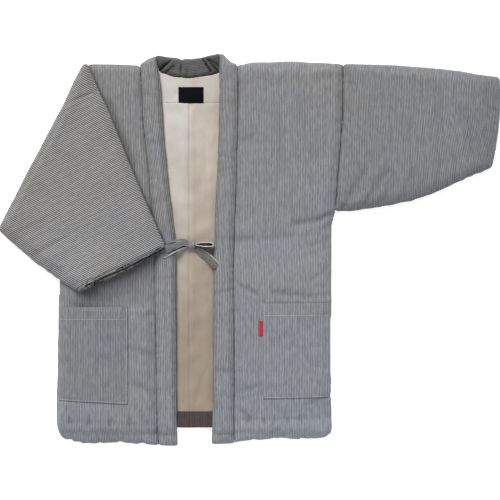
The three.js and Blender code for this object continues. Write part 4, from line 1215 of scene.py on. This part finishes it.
POCKET_ROWS = (  # stitch rows, in shares across and up: foot, inner edge, mouth's hem
    ((0.02, 0.012), (0.985, 0.012)), ((0.985, 0.012), (0.985, 0.99)),
    ((0.02, 0.873), (0.985, 0.873)),
)


def patch_pocket(p, thread):
    """One patch pocket on its front, with its sewing."""
    front = bpy.data.objects[p.front]
    turned = p.inner < p.side
    shares = {}

    def corner(u, v):
        shares["u"], shares["v"] = (1 - u if turned else u), v
        return pocket_place(p, shares["u"], v)

    def height(x, y):
        lift = pocket_lift(shares["u"], shares["v"])
        return height_over(front, x, y, FRONT_EDGE_TOP) + lift

    patch = cloth_sheet(p.name, (56, 76), corner, height, 1.0)
    set_grain(patch, across_body, along_body)
    # Painted shade on the right pocket, which lies below the folded sleeve's cuff
    set_shade(patch, lambda x, y: (0.0 if turned else 0.13) + 0 * x)
    finished(patch, body_cloth(), "striped_cotton", p.node)

    def sew(bm):
        for start, end in POCKET_ROWS:
            stitch_row(bm, (pocket_place(p, *start), pocket_place(p, *end)), patch, 0.6)

    finished(with_bmesh(link(p.name + "_sewing"), sew), thread, "striped_cotton")


class BuildPockets(bpy.types.Operator):
    """Patch pockets with their sewing"""
    bl_idname = "hanten.pockets"
    bl_label = "Pockets"

    def execute(self, context):
        thread = plain_cotton("thread", colours().thread, rough=0.6, fade=0.04)
        for p in POCKETS:
            patch_pocket(p, thread)
        return {"FINISHED"}


def small_patch(name, node, centre, size, thick, surface, material, slot):
    """A small woven rectangle sewn on a piece, its edges rolled down."""
    def corner(u, v):
        return centre[0] + size[0] * (u - 0.5), centre[1] + size[1] * (v - 0.5)

    def height(x, y):
        u = (x - centre[0]) / size[0] + 0.5
        v = (y - centre[1]) / size[1] + 0.5
        edge = np.minimum(np.minimum(u, 1 - u) * size[0], np.minimum(v, 1 - v) * size[1])
        return height_over(surface, x, y, FRONT_EDGE_TOP) + 0.15 + 0.35 * smoothstep(edge, 0, 2)

    obj = cloth_sheet(name, (24, 24), corner, height, thick)
    finished(obj, material, slot, node)
    return obj


LABEL_DRAWN = (-129.5, 339)
LABEL_SIZE = (55, 35)
TAB_SIZE = (10, 33)


class BuildTrim(bpy.types.Operator):
    """Bare neck label and the tab in the pocket's edge"""
    bl_idname = "hanten.trim"
    bl_label = "Label and tab"

    def execute(self, context):
        label = plain_cotton("label_weave", colours().label, rough=0.8, fade=0.2, sheen=0.0,
                             shine=0.05)
        small_patch("label_cloth", "neck_label", LABEL_DRAWN, LABEL_SIZE, 0.6,
                    bpy.data.objects["lining_cloth_yoke"], label, "black_weave")
        tab = plain_cotton("tab_weave", colours().tab, rough=0.75, fade=0.12)
        small_patch("tab_cloth", "pocket_tab", TAB_DRAWN, TAB_SIZE, 0.9,
                    bpy.data.objects["wadded_front_left"], tab, "red_tape")
        return {"FINISHED"}


# Ties

def smooth_route(rows, parts):
    """Rows of numbers along a smooth curve through given rows."""
    table = np.array(rows, dtype=float)
    table = np.vstack([2 * table[0] - table[1], table, 2 * table[-1] - table[-2]])
    made = []
    for k in range(1, len(table) - 2):
        a, b, c, d = table[k - 1:k + 3]
        for t in np.arange(parts) / parts:
            made.append(0.5 * (2 * b + (c - a) * t + (2 * a - 5 * b + 4 * c - d) * t * t
                               + (3 * b - a - 3 * c + d) * t ** 3))
    made.append(table[-2])
    return np.array(made)


TAPE_SIDES = 20
TAPE_THICK = 1.7
KNOT_THICK = 4.2


def squared(x, y):
    """Divides a circle's points into a fuller section with flat faces and round edges."""
    return (abs(x) ** 4 + abs(y) ** 4) ** 0.25


def tape_piece(name, rows, thick, parts=6):
    """A flat woven tape with rounded edges, swept along its route."""
    route = smooth_route(rows, parts)
    places = placed(route[:, :3])
    obj = link(name)

    def build(bm):
        rings = []
        for k, row in enumerate(route):
            ahead = Vector(places[min(k + 1, len(places) - 1)] - places[max(k - 1, 0)])
            ahead.normalize()
            heading, tilt = math.radians(row[3]), math.radians(row[4])
            wide = Vector((math.cos(heading) * math.cos(tilt),
                           math.sin(heading) * math.cos(tilt), math.sin(tilt)))
            up = ahead.cross(wide).normalized()
            wide = up.cross(ahead).normalized()
            turn = Matrix((wide, up, ahead)).transposed().to_4x4()
            shape = Matrix.Diagonal((row[5] * MM / 2, thick * MM / 2, 1, 1))
            matrix = Matrix.Translation(Vector(places[k])) @ turn @ shape
            ring = bmesh.ops.create_circle(
                bm, cap_ends=k in (0, len(route) - 1), segments=TAPE_SIDES, radius=1,
                matrix=matrix)["verts"]
            for v in ring:
                local = matrix.inverted() @ v.co
                v.co = matrix @ (local / squared(local.x, local.y))
            rings.append([e for e in bm.edges if e.verts[0] in ring and e.verts[1] in ring])
        for a, b in zip(rings[:-1], rings[1:]):
            bmesh.ops.bridge_loops(bm, edges=a + b)
        bmesh.ops.recalc_face_normals(bm, faces=bm.faces)

    with_bmesh(obj, build)
    run = np.concatenate([[0], np.cumsum(np.linalg.norm(np.diff(places, axis=0), axis=1))])
    turn = np.arange(TAPE_SIDES) * 2 * math.pi / TAPE_SIDES
    around = np.tile(np.sin(turn) / squared(np.sin(turn), np.cos(turn)), len(route))
    half_wide = np.repeat(np.maximum(route[:, 5], 10) / 2 * MM, TAPE_SIDES)
    keep(obj, "grain", "FLOAT_VECTOR", np.stack(
        [around * half_wide, np.repeat(run, TAPE_SIDES), around * 0.01], axis=1))
    return obj, places, float(run[-1])


def bow_shade(x, y):
    """Painted shade between the left loop and the end that hangs below it."""
    return 0.7 * close_to(((-147, 8.2), (-180, -7.4)), x, y, 1.6)


def knot_ring():
    """The route of the wrap: an upright ring round both tapes, closed after 12 steps."""
    ring = []
    for turn in np.arange(13) * 2 * math.pi / 12:
        out, up = math.cos(turn), math.sin(turn)
        ring.append(Tape(KNOT[0] + 1.2 * out, KNOT[1] + 6.6 * out, KNOT[2] + 5.4 * up, 12 * up, 0,
                         14 + 1.5 * up))
    return ring


class BuildTies(bpy.types.Operator):
    """Two striped tapes tied in a bow"""
    bl_idname = "hanten.ties"
    bl_label = "Ties"

    def execute(self, context):
        knot, _, _ = tape_piece("tie_wrap", knot_ring(), KNOT_THICK, parts=4)
        finished(knot, knot_cloth(), "tie_cotton", "tie_knot")
        for name, rows, nodes, cloth in (
            ("tie_tape_right", TIE_RIGHT, ("tie_lead_right", "tie_loop_right", "tie_end_right"),
             ("tie_stripes_right", (0.80, 0.80, 0.81))),
            ("tie_tape_left", TIE_LEFT, ("tie_lead_left", "tie_loop_left", "tie_end_left"),
             ("tie_stripes_left", (0.62, 0.54, 0.50))),
        ):
            tape, path, run = tape_piece(name, rows, TAPE_THICK)
            set_shade(tape, bow_shade)
            finished(tape, tie_cloth(*cloth), "tie_cotton", *nodes)
            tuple(path[0])
        return {"FINISHED"}


# Stage

CAMERA_Y = -1.1  # half of one of the photo's pixels below the drawing's middle


class BuildStage(bpy.types.Operator):
    """Camera straight above, pale floor and soft light"""
    bl_idname = "hanten.stage"
    bl_label = "Stage"

    def execute(self, context):
        scene = context.scene
        scene.view_settings.view_transform = "Standard"
        camera_data = bpy.data.cameras.new("camera")
        camera_data.lens = 85
        camera_data.sensor_width = 36
        camera = bpy.data.objects.new("camera", camera_data)
        scene.collection.objects.link(camera)
        camera.location = Vector(placed((0, CAMERA_Y, 0)))
        camera.location.z = sizes().camera_height
        scene.camera = camera
        floor = link("floor")
        with_bmesh(floor, lambda bm: bmesh.ops.create_grid(
            bm, x_segments=1, y_segments=1, size=40.0))
        n = Nodes("floor_paint")
        paint = rgba(colours().floor)
        n.to_shader({
            "Base Color": paint, "Roughness": 0.9, "Emission Color": paint,
            "Emission Strength": 0.6})
        floor.data.materials.append(n.material)
        world = bpy.data.worlds.new("studio")
        world.use_nodes = True
        world.node_tree.nodes["Background"].inputs["Color"].default_value = (1, 1, 1, 1)
        world.node_tree.nodes["Background"].inputs["Strength"].default_value = 0.35
        scene.world = world
        key = bpy.data.lights.new("key", "SUN")
        key.angle = 0.42
        key.energy = 2.45
        fill = bpy.data.lights.new("fill", "AREA")
        fill.size = 2.4
        fill.energy = 27.0
        for data, place in ((key, (-1.2, 3.2, 3.0)), (fill, (0.9, -2.6, 2.6))):
            lamp = bpy.data.objects.new(data.name, data)
            scene.collection.objects.link(lamp)
            lamp.location = place
            lamp.rotation_euler = (-Vector(place)).to_track_quat("-Z", "Y").to_euler()
        return {"FINISHED"}


class HantenPanel(bpy.types.Panel):
    """Lists the steps that build the hanten"""
    bl_idname = "VIEW3D_PT_hanten"
    bl_label = "Hanten"
    bl_space_type = "VIEW_3D"
    bl_region_type = "UI"
    bl_category = "Hanten"

    def draw(self, context):
        column = self.layout.column(align=True)
        for step in STEPS:
            column.operator(step.bl_idname)
        for group in (context.scene.hanten_sizes, context.scene.hanten_colours):
            for key in group.__annotations__:
                column.prop(group, key)


STEPS = (
    BuildStage, BuildTies, BuildBody, BuildSleeves, BuildCollar, BuildLining, BuildPockets,
    BuildTrim,
)
CLASSES = (HantenSizes, HantenColours, *STEPS, HantenPanel)


def register():
    for cls in CLASSES:
        bpy.utils.register_class(cls)
    bpy.types.Scene.hanten_sizes = bpy.props.PointerProperty(type=HantenSizes)
    bpy.types.Scene.hanten_colours = bpy.props.PointerProperty(type=HantenColours)


def unregister():
    del bpy.types.Scene.hanten_colours
    del bpy.types.Scene.hanten_sizes
    for cls in reversed(CLASSES):
        bpy.utils.unregister_class(cls)


def main():
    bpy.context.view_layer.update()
    register()
    bpy.ops.hanten.stage()
    bpy.ops.hanten.ties()
    bpy.ops.hanten.body()
    bpy.ops.hanten.sleeves()
    bpy.ops.hanten.collar()
    bpy.ops.hanten.lining()
    bpy.ops.hanten.pockets()
    bpy.ops.hanten.trim()


if __name__ == "__main__":
    main()
